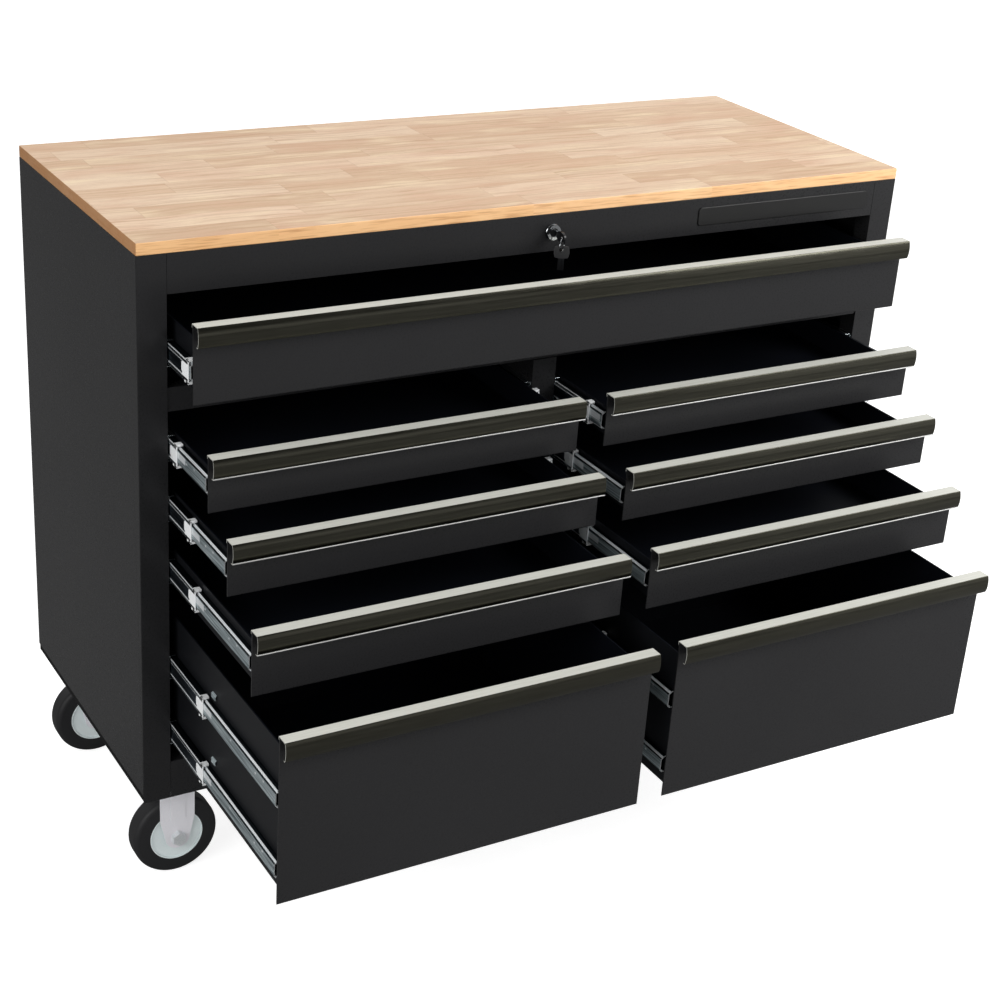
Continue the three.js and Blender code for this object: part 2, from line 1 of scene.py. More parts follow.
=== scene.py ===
# %% [markdown]
# # A mobile workbench, dressed in Blender
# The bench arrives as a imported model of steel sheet, slides, casters and a wood slab, at its real
# size. This lesson gives each of those pieces the surface and the small shapes that the eye
# expects, and then lights the bench as a product photographer would. Nothing is moved: every
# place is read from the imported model's boxes.

import math

import bmesh
import bpy
from mathutils import Matrix, Quaternion, Vector


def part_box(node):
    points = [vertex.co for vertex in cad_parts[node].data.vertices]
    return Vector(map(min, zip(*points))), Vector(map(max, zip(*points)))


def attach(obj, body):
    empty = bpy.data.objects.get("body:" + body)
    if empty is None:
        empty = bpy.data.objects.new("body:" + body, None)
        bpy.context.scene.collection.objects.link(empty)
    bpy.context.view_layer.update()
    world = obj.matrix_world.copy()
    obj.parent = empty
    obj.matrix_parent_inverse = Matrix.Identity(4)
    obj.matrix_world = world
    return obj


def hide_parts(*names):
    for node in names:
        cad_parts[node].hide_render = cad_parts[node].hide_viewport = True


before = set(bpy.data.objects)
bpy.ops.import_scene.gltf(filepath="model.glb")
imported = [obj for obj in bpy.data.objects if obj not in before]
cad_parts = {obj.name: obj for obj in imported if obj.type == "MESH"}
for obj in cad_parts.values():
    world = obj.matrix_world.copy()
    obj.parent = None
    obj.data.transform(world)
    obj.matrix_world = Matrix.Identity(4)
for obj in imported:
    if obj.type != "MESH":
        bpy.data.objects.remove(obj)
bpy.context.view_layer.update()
MM = 0.001

# %% [markdown]
# ## The camera
# The photograph was taken from the left, a little above the worktop, with a longer lens and the
# camera tipped slightly. The place and the angles below were found by fitting the bench's own
# corners to the picture, so the render falls on it edge for edge. A camera looks along its own
# -Z axis, and a turn about that axis gives the tip.

# %% Place the camera
camera_place = Vector((-1.32424, -2.11532, 1.64955))
camera_azimuth = math.radians(31.5)
camera_pitch = math.radians(-25.0)
camera_roll = math.radians(4.17)
lens_length = 68.76
sensor_width = 36.0

aim = Vector((
    math.sin(camera_azimuth) * math.cos(camera_pitch),
    math.cos(camera_azimuth) * math.cos(camera_pitch),
    math.sin(camera_pitch),
))
camera_data = bpy.data.cameras.new("photo_camera")
camera_data.lens = lens_length
camera_data.sensor_width = sensor_width
camera = bpy.data.objects.new("photo_camera", camera_data)
bpy.context.scene.collection.objects.link(camera)
camera.rotation_mode = "QUATERNION"
camera.rotation_quaternion = aim.to_track_quat("-Z", "Y") @ Quaternion((0, 0, 1), camera_roll)
camera.location = camera_place
bpy.context.scene.camera = camera
print("camera looks along", tuple(round(v, 3) for v in aim))

# %% [markdown]
# ## The places that everything hangs on
# Each drawer has a tray, a handle and slides, and their boxes say where it stands. Reading them
# here once keeps the rest of the lesson free of typed places. A slide's height is the middle of
# its moving member. The member's web lies on the side away from the drawer.

# %% Read the bench's own places
top_low, top_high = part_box("worktop")
front_plane = top_low.y
sides = (("left", top_low.x), ("right", top_high.x))
front_side_gap = 2.5 * MM
rail_end_gap = 0.3 * MM
slide_thickness = 12.7 * MM
post_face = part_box("front_top_rail")[1].x + rail_end_gap
divider_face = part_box("left_drawer_1_tray")[1].x + front_side_gap
drawer_names = ["top_drawer"]
drawer_names += [f"{side}_drawer_{row}" for side, outside in sides for row in range(1, 5)]
slides = [(drawer, name) for drawer in drawer_names for name in sorted(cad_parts)
          if name.startswith(f"{drawer}_slide_")]


def member_place(name):
    """A middle member's box, its height, its web's face, and its drawer's side as +1 or -1."""
    low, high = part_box(name)
    inwards = 1 if name.split("_slide_")[1].startswith("left") else -1
    return low, high, (low.z + high.z) / 2, low.x if inwards > 0 else high.x, inwards


for drawer in drawer_names:
    heights = {round(member_place(name)[2], 3) for owner, name in slides if owner == drawer}

# %% [markdown]
# ## Colours and nodes
# Colours are written as the hex values that a picture shows, and shaders want linear light, so
# one function turns the one into the other. Another adds a node with its settings and its
# inputs: a node or a socket is linked, and anything else is set as a plain value. Most finishes
# then vary in the same way. A mottle drives the colour between two tones, and a finer grain
# drives the gloss and, where there is one, the relief.

# %% A helper for colours
sRGB_knee = 0.04045


def linear(hex_colour):
    """An sRGB hex colour as linear red, green, blue and a full alpha."""
    channels = [int(hex_colour[i:i + 2], 16) / 255 for i in (1, 3, 5)]
    bent = [c / 12.92 if c <= sRGB_knee else ((c + 0.055) / 1.055) ** 2.4 for c in channels]
    return (*bent, 1.0)


print("a mid grey, linear:", round(linear("#808080")[0], 3))

# %% Helpers for nodes


def connect(tree, made, inputs):
    """Fills a node's inputs. Of a node, the first output that its settings leave on is linked."""
    for name, value in inputs.items():
        if isinstance(value, bpy.types.Node):
            value = next(output for output in value.outputs if output.enabled)
        if isinstance(value, bpy.types.NodeSocket):
            tree.links.new(value, made.inputs[name])
        else:
            made.inputs[name].default_value = value


def node(tree, kind, inputs=None, **settings):
    """Adds one node with its settings and its inputs."""
    made = tree.nodes.new(kind)
    for name, value in settings.items():
        setattr(made, name, value)
    connect(tree, made, inputs or {})
    return made


def new_material(name, **sockets):
    """A material with one Principled shader, whose constants are set on its own sockets."""
    material = bpy.data.materials.new(name)
    material.use_nodes = True
    shader = material.node_tree.nodes["Principled BSDF"]
    for socket, value in sockets.items():
        shader.inputs[socket.replace("_", " ")].default_value = value
    return material, material.node_tree, shader


# %% A helper that varies a finish


def vary(tree, shader, mottle, tones, grain, roughness, swing, relief=None):
    """Varies a finish: its colour by a mottle, and its gloss and its relief by a grain."""
    dark, light = tones
    connect(tree, shader, {
        "Base Color": node(tree, "ShaderNodeMix", {0: mottle, 6: linear(dark), 7: linear(light)},
                           data_type="RGBA"),
        "Roughness": node(tree, "ShaderNodeMapRange", {
            "Value": grain, "To Min": roughness - swing, "To Max": roughness + swing})})
    if relief:
        strength, depth = relief
        connect(tree, shader, {"Normal": node(tree, "ShaderNodeBump", {
            "Height": grain, "Strength": strength, "Distance": depth})})


# %% [markdown]
# ## Black powder coat
# The cabinet, the drawers and their fronts are bent mild steel with a baked polyester powder
# coat. Up close such a coat has orange peel: a soft ripple of two or three millimetres that
# breaks up reflections. The paint is nearly black and half glossy, so part of the grey that the
# eye reads is its own colour and part is a dim reflection of the room: the specular level is low.
# The colour drifts a little, because a large flat sheet is never quite even. The trays' flanks
# and insides get darker copies of the coat as painted shade, and so does the band along the foot
# of the side panels.

# %% Make the powder coat
orange_peel_size = 2.5 * MM
orange_peel_relief = (0.03, 0.05 * MM)
coat_drift_size = 240 * MM
coat_gloss_swing = 0.03


def powder_coat(name, dark, light, roughness):
    """Polyester powder coat on sheet steel, between two very dark colours."""
    material, tree, shader = new_material(name, IOR=1.5, Metallic=0.0, Specular_IOR_Level=0.18)
    place = node(tree, "ShaderNodeTexCoord").outputs["Object"]
    drift = node(tree, "ShaderNodeTexNoise", {"Vector": place, "Scale": 1 / coat_drift_size})
    peel = node(tree, "ShaderNodeTexNoise",
                {"Vector": place, "Scale": 1 / orange_peel_size, "Detail": 1.0})
    vary(tree, shader, drift, (dark, light), peel, roughness, coat_gloss_swing, orange_peel_relief)
    return material


coat_outside = powder_coat("powder_coat_outside", "#202021", "#252526", 0.28)
# Painted shade: the trays' flank and inside coats are darker copies of the outside coat.
coat_flank_painted_shade = powder_coat("powder_coat_flank_painted_shade", "#121316", "#18191c", 0.4)
coat_inside_painted_shade = powder_coat("powder_coat_inside_painted_shade", "#0a0c12", "#0d1017", 0.5)
# Painted shade: the band along the side panels' foot is near black.
coat_foot_painted_shade = powder_coat("powder_coat_foot_band_painted_shade", "#060607", "#09090a", 0.6)
print("powder coats made, ripple of", round(orange_peel_size / MM, 1), "mm")

# %% [markdown]
# ## Zinc plate, anodised aluminium, chrome
# The slides are cold rolled steel with bright zinc plate: a cool, slightly streaked mirror whose
# streaks run along the length that went through the rolls. The middle members' webs and the
# grooves that the balls run in are painted darker, as painted shade, and the rolled edges, cut ends
# and bends are painted near white, as painted highlights. The handles are extruded aluminium,
# anodised to a dark bronze. Extrusion leaves fine die lines along the length, so noise that is
# stretched along X roughens them. The flat top of the extrusion and the bead along its foot are
# painted pale and only partly metallic, as painted highlights. Chrome on the lock is smooth, and
# only its tint is set. All of these are metals, so the IOR stays.

# %% Make the metals
zinc_streak_width = 1.2 * MM
die_line_width = 0.8 * MM
streak_stretch = 60.0
streak_contrast = (0.36, 0.64)
metal_gloss_swing = 0.06
X, Y, Z = 0, 1, 2


def streaked_metal(name, dark, light, roughness, streak_width, along, metallic=1.0):
    """A metal whose colour and gloss vary in fine streaks along one axis."""
    material, tree, shader = new_material(name, Metallic=metallic)
    scale = [1 / streak_width] * 3
    scale[along] /= streak_stretch
    stretched = node(tree, "ShaderNodeMapping", {
        "Vector": node(tree, "ShaderNodeTexCoord").outputs["Object"], "Scale": scale})
    streaks = node(tree, "ShaderNodeTexNoise", {"Vector": stretched, "Scale": 1.0, "Detail": 3.0})
    spread = node(tree, "ShaderNodeMapRange", {
        "Value": streaks, "From Min": streak_contrast[0], "From Max": streak_contrast[1]})
    vary(tree, shader, spread, (dark, light), streaks, roughness, metal_gloss_swing)
    return material


def rolled_zinc(name, dark, light, roughness, metallic=1.0):
    """Zinc plate on a slide member, which was rolled along Y."""
    return streaked_metal(name, dark, light, roughness, zinc_streak_width, Y, metallic)


zinc = rolled_zinc("zinc_plate", "#aab5bc", "#e6ecef", 0.26)
zinc_web = rolled_zinc("zinc_plate_flat_web", "#5f7077", "#d9e6e9", 0.3, 0.75)
# Painted shade: the middle members' webs and the race bands are darker zinc.
zinc_painted_shade_web = rolled_zinc("zinc_plate_painted_shade_web", "#2e3944", "#697784", 0.3)
zinc_painted_shade_race = rolled_zinc("zinc_plate_race_painted_shade", "#20262b", "#3a4349", 0.4)
# Painted highlight: near-white zinc for rolled edges, cut ends, rivets, the latch tongue and the
# fork bolts.
zinc_painted_highlight = rolled_zinc("zinc_plate_painted_highlight", "#e3e9ec", "#f6f8f9", 0.4, 0.5)
bronze = streaked_metal("bronze_anodised_front", "#403f37", "#4b4a42", 0.22, die_line_width, X)
# Painted highlight: the handles' top and bead are pale and only partly metallic.
bronze_top_painted_highlight = streaked_metal(
    "anodised_top_painted_highlight", "#c8c8bf", "#d5d5cd", 0.5, die_line_width, X, 0.15)
bronze_bead_painted_highlight = streaked_metal(
    "anodised_bead_painted_highlight", "#b4b4b3", "#cacac9", 0.5, die_line_width, X, 0.5)
bronze_end = streaked_metal(
    "sawn_aluminium_end", "#b0b0a9", "#c9c9c2", 0.45, die_line_width, Z, 0.3)
chrome = streaked_metal("chrome_plate", "#a3a6a9", "#c4c7c9", 0.1, die_line_width, Z)
key_steel = streaked_metal("nickelled_key_blade", "#55565a", "#6c6e72", 0.3, die_line_width, Z)
print("metals made")

# %% [markdown]
# ## Plastics, rubber and caster paint
# The slide bumpers are white acetal, moulded, with a faint waxy sheen. The tyres are black
# rubber with a soft bloom, rougher than the paint. The wheel centres are grey polypropylene with
# a fine moulded grain, and the forks wear a light silver-grey paint. One function makes them
# all, from two colours, a roughness, and the grain's size and depth in millimetres.

# %% Make the moulded and painted finishes
grain_gloss_swing = 0.05
grain_strength = 0.2


def grained(name, dark, light, roughness, grain_size, depth):
    """A plastic, rubber or paint with a fine grain in its colour, gloss and surface."""
    material, tree, shader = new_material(name, IOR=1.5, Metallic=0.0)
    grain = node(tree, "ShaderNodeTexNoise", {
        "Vector": node(tree, "ShaderNodeTexCoord").outputs["Object"],
        "Scale": 1 / (grain_size * MM), "Detail": 2.0})
    vary(tree, shader, grain, (dark, light), grain, roughness, grain_gloss_swing,
         (grain_strength, depth * MM))
    return material


acetal = grained("white_acetal", "#e9ecee", "#f7f8f8", 0.38, 1.5, 0.02)
rubber = grained("black_tyre_rubber", "#1b1b1d", "#262628", 0.55, 2.0, 0.05)
wheel_centre = grained("grey_polypropylene", "#e4f0f1", "#f0f8f8", 0.42, 1.6, 0.03)
caster_paint = grained("silver_grey_caster_paint", "#eae9ef", "#f4f3f7", 0.36, 2.0, 0.03)
black_oxide = grained("black_oxide_screw", "#050506", "#0b0b0c", 0.45, 0.8, 0.02)
key_plastic = grained("black_key_bow", "#0c0c0d", "#151517", 0.3, 1.2, 0.02)
spare_plastic = grained("black_spare_bow", "#29292a", "#363637", 0.34, 1.2, 0.03)
badge_gloss = grained("black_gloss_badge", "#050506", "#090909", 0.36, 3.0, 0.005)
# Painted shade: a near-black finish for the insides of holes and dimples.
hole_painted_shade = grained("painted_shade_of_a_hole", "#010102", "#030304", 0.8, 1.0, 0.01)
print("moulded and painted finishes made")

# %% [markdown]
# ## Rubberwood butcher block
# The worktop is glued up from staves of rubberwood. They run along the bench in rows about 46 mm
# wide, and each row is finger-jointed from pieces of 15 to 45 cm. Every stave comes from
# another board, so it has its own tone and its own grain. A row's number is its depth divided
# by the row's width, rounded down. Along a row, a one-dimensional Voronoi texture splits the
# length into staves of uneven length and gives each a random colour, which picks the tone and
# shifts the grain.

# %% The worktop's sizes and tones
stave_rows = 10
row_width = (top_high.y - top_low.y) / stave_rows
stave_length = 290 * MM
joint_width = 0.5 * MM
row_shuffle = 17.37         # sets each row's joints apart from its neighbours'
stave_slip = 40.0           # how many grain lengths two staves may lie apart
row_edge = 0.01             # keeps the slab's own edges inside the first and the last row
stave_tones = [(0.0, "#c6a380"), (0.22, "#d0af8c"), (0.45, "#d8ba9a"), (0.7, "#dec2a4"),
               (1.0, "#e5ccae")]
print("wood: rows of", round(row_width / MM, 1), "mm")

# %% [markdown]
# ## The wood's grain
# Over each stave's tone lie soft pink and pale clouds, broad streaks, fine threads, short
# lens-shaped flecks and the pores. Each is noise with its own size in millimetres along the
# stave, across it and in depth, and most follow a gentle bend of the grain. The tints are then
# laid over one another in order. A tint says which pattern drives it, from and to which value,
# how strong it is, and its colour. The front edge is the long side of the first row and shows
# warmer wood in fine lines. The ends are browner.

# %% List the grain and its tints
endless = math.inf          # a size for a pattern that doesn't change along that axis
wander_scale = 7.0
wander_reach = 22 * MM
grain_sizes = {"cloud": (130, 34, endless), "streak": (260, 7, 7), "thread": (120, 1.8, 1.8),
               "fleck": (75, 6, endless), "pore": (9, 0.7, 0.7)}
grain_slips = {"cloud": (1, 0, 0), "streak": (1, 1, 0), "thread": (1, 0, 0), "fleck": (0, 1, 0),
               "pore": (1, 0, 0)}
grain_details = {"cloud": 2.0, "streak": 4.0, "thread": 3.0, "fleck": 1.0, "pore": 1.0}
streak_roughness, plain_roughness = 0.6, 0.5
side_grain_run = 45 * MM
side_grain_width = 2.2 * MM
side_line_range = (0.5, 0.68)
side_facing = 0.6           # a normal with more than this along an axis belongs to that side
pore_range = (0.58, 0.75)
pore_depth = 0.5            # a pore's depth, next to a joint's
wood_gloss = (0.38, 0.52)
wood_relief = (0.25, 0.1 * MM)
wood_tints = [
    ("warmth", 0.0, 1.0, 0.4, "#d8af8e"), ("cloud", 0.52, 0.7, 0.62, "#cc9f7d"),
    ("cloud", 0.46, 0.3, 0.6, "#ecd5b0"), ("streak", 0.5, 0.78, 0.8, "#b0835c"),
    ("thread", 0.5, 0.72, 0.42, "#b58d66"), ("fleck", 0.66, 0.78, 0.6, "#a9794f"),
    ("pore", *pore_range, 0.3, "#99704c"), ("joint", 0.0, 1.0, 0.28, "#9c7450"),
    ("front", 0.0, 1.0, 0.6, "#f2bd7f"), ("ends", 0.0, 1.0, 0.85, "#a87442"),
    ("side_line", 0.0, 1.0, 0.5, "#a06a38")]
print("grain patterns:", len(grain_sizes), "tints:", len(wood_tints))

# %% [markdown]
# ## The wood's nodes
# The patterns are built in three steps: which stave a point lies in and how near its joints are,
# the grain on it, and which side of the slab it is on. The last function lays the tints.

# %% Which stave a point lies in


def stave_patterns(tree, x, y):
    """A stave's random tone, shift and warmth, and the fine joints round it."""
    row_place = node(tree, "ShaderNodeMath", {
        0: node(tree, "ShaderNodeMath", {0: y, 1: front_plane}, operation="SUBTRACT"),
        1: row_width}, operation="DIVIDE")
    inside = node(tree, "ShaderNodeClamp", {
        "Value": row_place, "Min": row_edge, "Max": stave_rows - row_edge})
    along = node(tree, "ShaderNodeMath", {
        0: node(tree, "ShaderNodeMath", {0: inside}, operation="FLOOR"), 1: row_shuffle,
        2: node(tree, "ShaderNodeMath", {0: x, 1: stave_length}, operation="DIVIDE"),
    }, operation="MULTIPLY_ADD")
    stave = node(tree, "ShaderNodeTexVoronoi", {"W": along, "Scale": 1.0},
                 voronoi_dimensions="1D")
    edge = node(tree, "ShaderNodeTexVoronoi", {"W": along, "Scale": 1.0},
                voronoi_dimensions="1D", feature="DISTANCE_TO_EDGE")
    near_end = node(tree, "ShaderNodeMath", {0: edge, 1: joint_width / stave_length},
                    operation="LESS_THAN")
    from_side = node(tree, "ShaderNodeMath", {0: row_place, 1: 0.5}, operation="PINGPONG")
    near_side = node(tree, "ShaderNodeMath", {0: from_side, 1: joint_width / row_width / 2},
                     operation="LESS_THAN")
    joint = node(tree, "ShaderNodeMath", {0: near_end, 1: near_side}, operation="MAXIMUM")
    chance = node(tree, "ShaderNodeSeparateColor", {0: stave.outputs["Color"]})
    tone, shift, warmth = chance.outputs
    return tone, shift, {"warmth": warmth, "joint": joint}


# %% The grain on a stave


def grain_patterns(tree, coords, split, shift):
    """The noises of the grain, and the shift that a stave gives them."""
    x, y, z = split.outputs
    own = node(tree, "ShaderNodeMath", {0: shift, 1: stave_slip}, operation="MULTIPLY")
    wander = node(tree, "ShaderNodeTexNoise", {
        "Vector": coords.outputs["Object"], "Scale": wander_scale, "Detail": 1.0})
    bend = node(tree, "ShaderNodeMath", {0: wander, 1: wander_reach, 2: y},
                operation="MULTIPLY_ADD")
    bent = node(tree, "ShaderNodeCombineXYZ", {0: x, 1: bend, 2: z})
    patterns = {}
    for name, sizes in grain_sizes.items():
        slip = node(tree, "ShaderNodeVectorMath", {0: own, 1: grain_slips[name]},
                    operation="MULTIPLY")
        place = node(tree, "ShaderNodeVectorMath", {
            0: coords.outputs["Object"] if name == "cloud" else bent,
            1: [1 / (size * MM) for size in sizes], 2: slip}, operation="MULTIPLY_ADD")
        patterns[name] = node(tree, "ShaderNodeTexNoise", {
            "Vector": place, "Scale": 1.0, "Detail": grain_details[name],
            "Roughness": streak_roughness if name == "streak" else plain_roughness})
    return own, patterns


# %% The slab's front edge and ends


def side_patterns(tree, coords, split, own):
    """Masks of the front edge and the ends, and the fine lines along both."""
    x, y, z = split.outputs
    facing = node(tree, "ShaderNodeSeparateXYZ", {
        0: node(tree, "ShaderNodeVectorMath", {0: coords.outputs["Normal"]}, operation="ABSOLUTE")})
    front, ends = (node(tree, "ShaderNodeMath", {0: facing.outputs[axis], 1: side_facing},
                        operation="GREATER_THAN") for axis in (Y, X))
    around = node(tree, "ShaderNodeMath", {0: x, 1: y}, operation="ADD")
    lines = node(tree, "ShaderNodeTexNoise", {"Scale": 1.0, "Detail": 2.0, "Vector": node(
        tree, "ShaderNodeCombineXYZ", {
            0: node(tree, "ShaderNodeMath", {0: around, 1: side_grain_run}, operation="DIVIDE"),
            1: node(tree, "ShaderNodeMath", {0: z, 1: side_grain_width}, operation="DIVIDE"),
            2: own})})
    drawn = node(tree, "ShaderNodeMapRange", {
        "Value": lines, "From Min": side_line_range[0], "From Max": side_line_range[1]})
    on_side = node(tree, "ShaderNodeMath", {0: front, 1: ends}, operation="MAXIMUM")
    side_line = node(tree, "ShaderNodeMath", {0: drawn, 1: on_side}, operation="MULTIPLY")
    return {"front": front, "ends": ends, "side_line": side_line}


# %% Make the worktop's wood


def rubberwood():
    """Lacquered staves of rubberwood, edge-glued and finger-jointed."""
    material, tree, shader = new_material("rubberwood_staves", IOR=1.5, Metallic=0.0)
    coords = node(tree, "ShaderNodeTexCoord")
    split = node(tree, "ShaderNodeSeparateXYZ", {0: coords.outputs["Object"]})
    tone, shift, patterns = stave_patterns(tree, *split.outputs[:2])
    own, grain = grain_patterns(tree, coords, split, shift)
    patterns |= grain | side_patterns(tree, coords, split, own)

    colour = node(tree, "ShaderNodeValToRGB", {0: tone})
    stops = colour.color_ramp.elements
    for position, hex_colour in stave_tones[1:-1]:
        stops.new(position).color = linear(hex_colour)
    stops[0].color, stops[-1].color = linear(stave_tones[0][1]), linear(stave_tones[-1][1])
    for name, start, full, strength, hex_colour in wood_tints:
        share = node(tree, "ShaderNodeMapRange", {
            "Value": patterns[name], "From Min": start, "From Max": full, "To Max": strength})
        colour = node(tree, "ShaderNodeMix", {0: share, 6: colour, 7: linear(hex_colour)},
                      data_type="RGBA")

    gloss = node(tree, "ShaderNodeMapRange", {
        "Value": patterns["streak"], "To Min": wood_gloss[0], "To Max": wood_gloss[1]})
    pit = node(tree, "ShaderNodeMapRange", {
        "Value": patterns["pore"], "From Min": pore_range[0], "From Max": pore_range[1],
        "To Max": -pore_depth})
    relief = node(tree, "ShaderNodeMath", {0: pit, 1: patterns["joint"]}, operation="SUBTRACT")
    bump = node(tree, "ShaderNodeBump", {
        "Height": relief, "Strength": wood_relief[0], "Distance": wood_relief[1]})
    connect(tree, shader, {"Base Color": colour, "Roughness": gloss, "Normal": bump})
    return material


wood = rubberwood()
print("wood: nodes", len(wood.node_tree.nodes))

# %% [markdown]
# ## From a bmesh to a piece
# Every new piece ends the same way. It is shaded smooth with its sharp edges kept, it gets its
# materials, and it is told which body it rides on and which imported node it replaces. A narrow
# bevel on the edges catches the light as a real rounded edge does. Smooth shading would tilt a big
# sheet's normals towards its small bends and draw a false gradient on it, so weighted normals let
# the largest face have its say.

# %% Finish a piece
sharp_angle = math.radians(32)
flat_angle = math.radians(0.5)
weld_distance = 0.002 * MM
bevel_steps = 2


def finish_piece(name, bm, materials, body, replaces=(), bevel=0.0):
    """Makes an object of a bmesh, and lets it ride on a body of the bench."""
    mesh = bpy.data.meshes.new(name)
    bm.to_mesh(mesh)
    bm.free()
    for material in materials:
        mesh.materials.append(material)
    mesh.polygons.foreach_set("use_smooth", [True] * len(mesh.polygons))
    mesh.set_sharp_from_angle(angle=sharp_angle)
    piece = bpy.data.objects.new(name, mesh)
    bpy.context.scene.collection.objects.link(piece)
    if bevel:
        rounding = piece.modifiers.new("rounded_edges", "BEVEL")
        rounding.width = bevel
        rounding.segments = bevel_steps
        rounding.limit_method = "ANGLE"
        rounding.angle_limit = sharp_angle
    flatten = piece.modifiers.new("flat_faces_stay_flat", "WEIGHTED_NORMAL")
    flatten.keep_sharp = True
    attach(piece, body)
    if replaces:
        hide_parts(*replaces)
    return piece


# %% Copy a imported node's mesh


def merged_copy(name):
    """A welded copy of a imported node's mesh, with its flat faces whole again."""
    bm = bmesh.new()
    bm.from_mesh(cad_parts[name].data)
    bmesh.ops.remove_doubles(bm, verts=bm.verts[:], dist=weld_distance)
    bmesh.ops.dissolve_limit(bm, angle_limit=flat_angle, verts=bm.verts[:], edges=bm.edges[:],
                             delimit={"NORMAL"})
    return bm


# %% [markdown]
# ## A few tools for shapes
# Boxes and round bars start most of the small pieces. Pushing faces out gives a plate or a
# socket its depth, and one bevel with the same settings rounds them all. Each tool hands back
# what it made, in a fixed order, so that the next step can go on with it.

# %% Boxes and bars


def faces_of(verts):
    """The faces that some vertices belong to, each once and in a fixed order."""
    return list(dict.fromkeys(face for vert in verts for face in vert.link_faces))


def paint(faces, material):
    """Gives faces one of their piece's materials, by its number."""
    for face in faces:
        face.material_index = material


def box_in(bm, low, high, material=0):
    """Adds a box between two corners, and returns its vertices."""
    low, high = Vector(low), Vector(high)
    place = Matrix.Translation((low + high) / 2) @ Matrix.Diagonal((*(high - low), 1))
    made = bmesh.ops.create_cube(bm, size=1.0, matrix=place)["verts"]
    paint(faces_of(made), material)
    return made


def rod_in(bm, start, end, radius, segments, end_radius=None, material=0):
    """Adds a round bar, or a cone, between two points, and returns its vertices."""
    start, end = Vector(start), Vector(end)
    run = end - start
    turn = run.to_track_quat("Z", "Y").to_matrix().to_4x4()
    made = bmesh.ops.create_cone(
        bm, cap_ends=True, segments=segments, radius1=radius,
        radius2=radius if end_radius is None else end_radius, depth=run.length,
        matrix=Matrix.Translation((start + end) / 2) @ turn)["verts"]
    paint(faces_of(made), material)
    return made


# %% Pushing out and rounding


def push_out(bm, faces, move, **options):
    """Extrudes faces along a vector, and returns the new vertices and faces."""
    made = bmesh.ops.extrude_face_region(bm, geom=faces, **options)["geom"]
    verts = [g for g in made if isinstance(g, bmesh.types.BMVert)]
    bmesh.ops.translate(bm, verts=verts, vec=move)
    return verts, [g for g in made if isinstance(g, bmesh.types.BMFace)]


def round_off(bm, geom, radius, steps, affect="EDGES"):
    """Rounds edges, or the corners of an outline."""
    bmesh.ops.bevel(bm, geom=geom, offset=radius, segments=steps, profile=0.5, affect=affect,
                    material=-1, clamp_overlap=True)


def round_sharp(bm, verts, radius, steps):
    """Rounds the sharp edges between the given vertices."""
    chosen = set(verts)
    edges = [e for e in bm.edges if chosen.issuperset(e.verts)
             and e.is_manifold and e.calc_face_angle() > sharp_angle]
    round_off(bm, edges, radius, steps)


# %% [markdown]
# ## The worktop
# The slab is one flat board with its edges eased by a sander, so it starts as a cube of the
# packed slab's size and its edges are rounded by nearly a millimetre and a half.

# %% Model the worktop
eased_edge = 1.4 * MM
slab = bmesh.new()
round_sharp(slab, box_in(slab, top_low, top_high), eased_edge, steps=4)
finish_piece("worktop_slab", slab, [wood], "cabinet", ["worktop"])
print("worktop", round((top_high.x - top_low.x) / MM), "by", round((top_high.y - top_low.y) / MM),
      "mm")

# %% [markdown]
# ## Round holes and dimples in sheet metal
# A boolean could punch these, but it leaves ragged faces on thin sheet. Four cuts with
# bisect_plane free a small square of the sheet instead. The square is inset, its inner edges are
# divided, and their points are drawn onto a circle. The disc that is left is extruded into the
# sheet. The sheets that need this all face left or right, so the hole's place is a Y and a Z.
# A face's normal tells which way it looks: along an axis it is 1 for a face that is square to it.
# One fault is left here. extrude_face_region keeps a face that is passed alone, so the first disc
# still lies over each hole like a lid, and deleting it would open the hole.

# %% A helper that sinks a round hole
hole_margin = 0.25
edge_cuts = 4
skin_reach = 0.02 * MM
cut_weld = weld_distance / 4
squarely, mostly, partly = 0.99, 0.9, 0.5


def skin_at(bm, at):
    """The face of a sideways-facing sheet that holds a point."""
    return next(f for f in bm.faces
                if abs(f.normal.x) > squarely and abs(f.verts[0].co.x - at.x) < skin_reach
                and bmesh.geometry.intersect_face_point(f, at))


def sink_hole(bm, at, radius, depth, material):
    """Sinks a round flat-bottomed hole of a depth along X into the face at a point."""
    half = radius * (1 + hole_margin)
    for axis in (Y, Z):
        for sign in (-1, 1):
            skin = skin_at(bm, at)
            normal = Vector((0, 0, 0))
            normal[axis] = 1.0
            bmesh.ops.bisect_plane(bm, geom=[skin, *skin.edges, *skin.verts], dist=cut_weld,
                                   plane_co=at + normal * sign * half, plane_no=normal)
    square = skin_at(bm, at)
    bmesh.ops.inset_individual(bm, faces=[square], thickness=half - radius, use_even_offset=True)
    bmesh.ops.bisect_edges(bm, edges=square.edges[:], cuts=edge_cuts)
    for v in square.verts:
        v.co = at + (v.co - at).normalized() * radius
    paint(push_out(bm, [square], (depth, 0, 0))[1], material)


# %% [markdown]
# ## The cabinet's sheet metal
# Each panel keeps the shape that was packed. A copy of its mesh is welded, and each face is
# given its finish by its place: what stands inside a post's face is a slide member in zinc, the
# stepped-in band along the foot is painted near black and dull as painted shade, and the rest is
# black coat. The long front corner of each side panel was bent on a press brake, so it gets a real
# bend radius, and every other edge gets the small radius of painted sheet. Four screws hold each
# side panel, and each sits in a pressed dimple whose inside is painted near black as painted shade,
# so that nothing stands proud of the side.

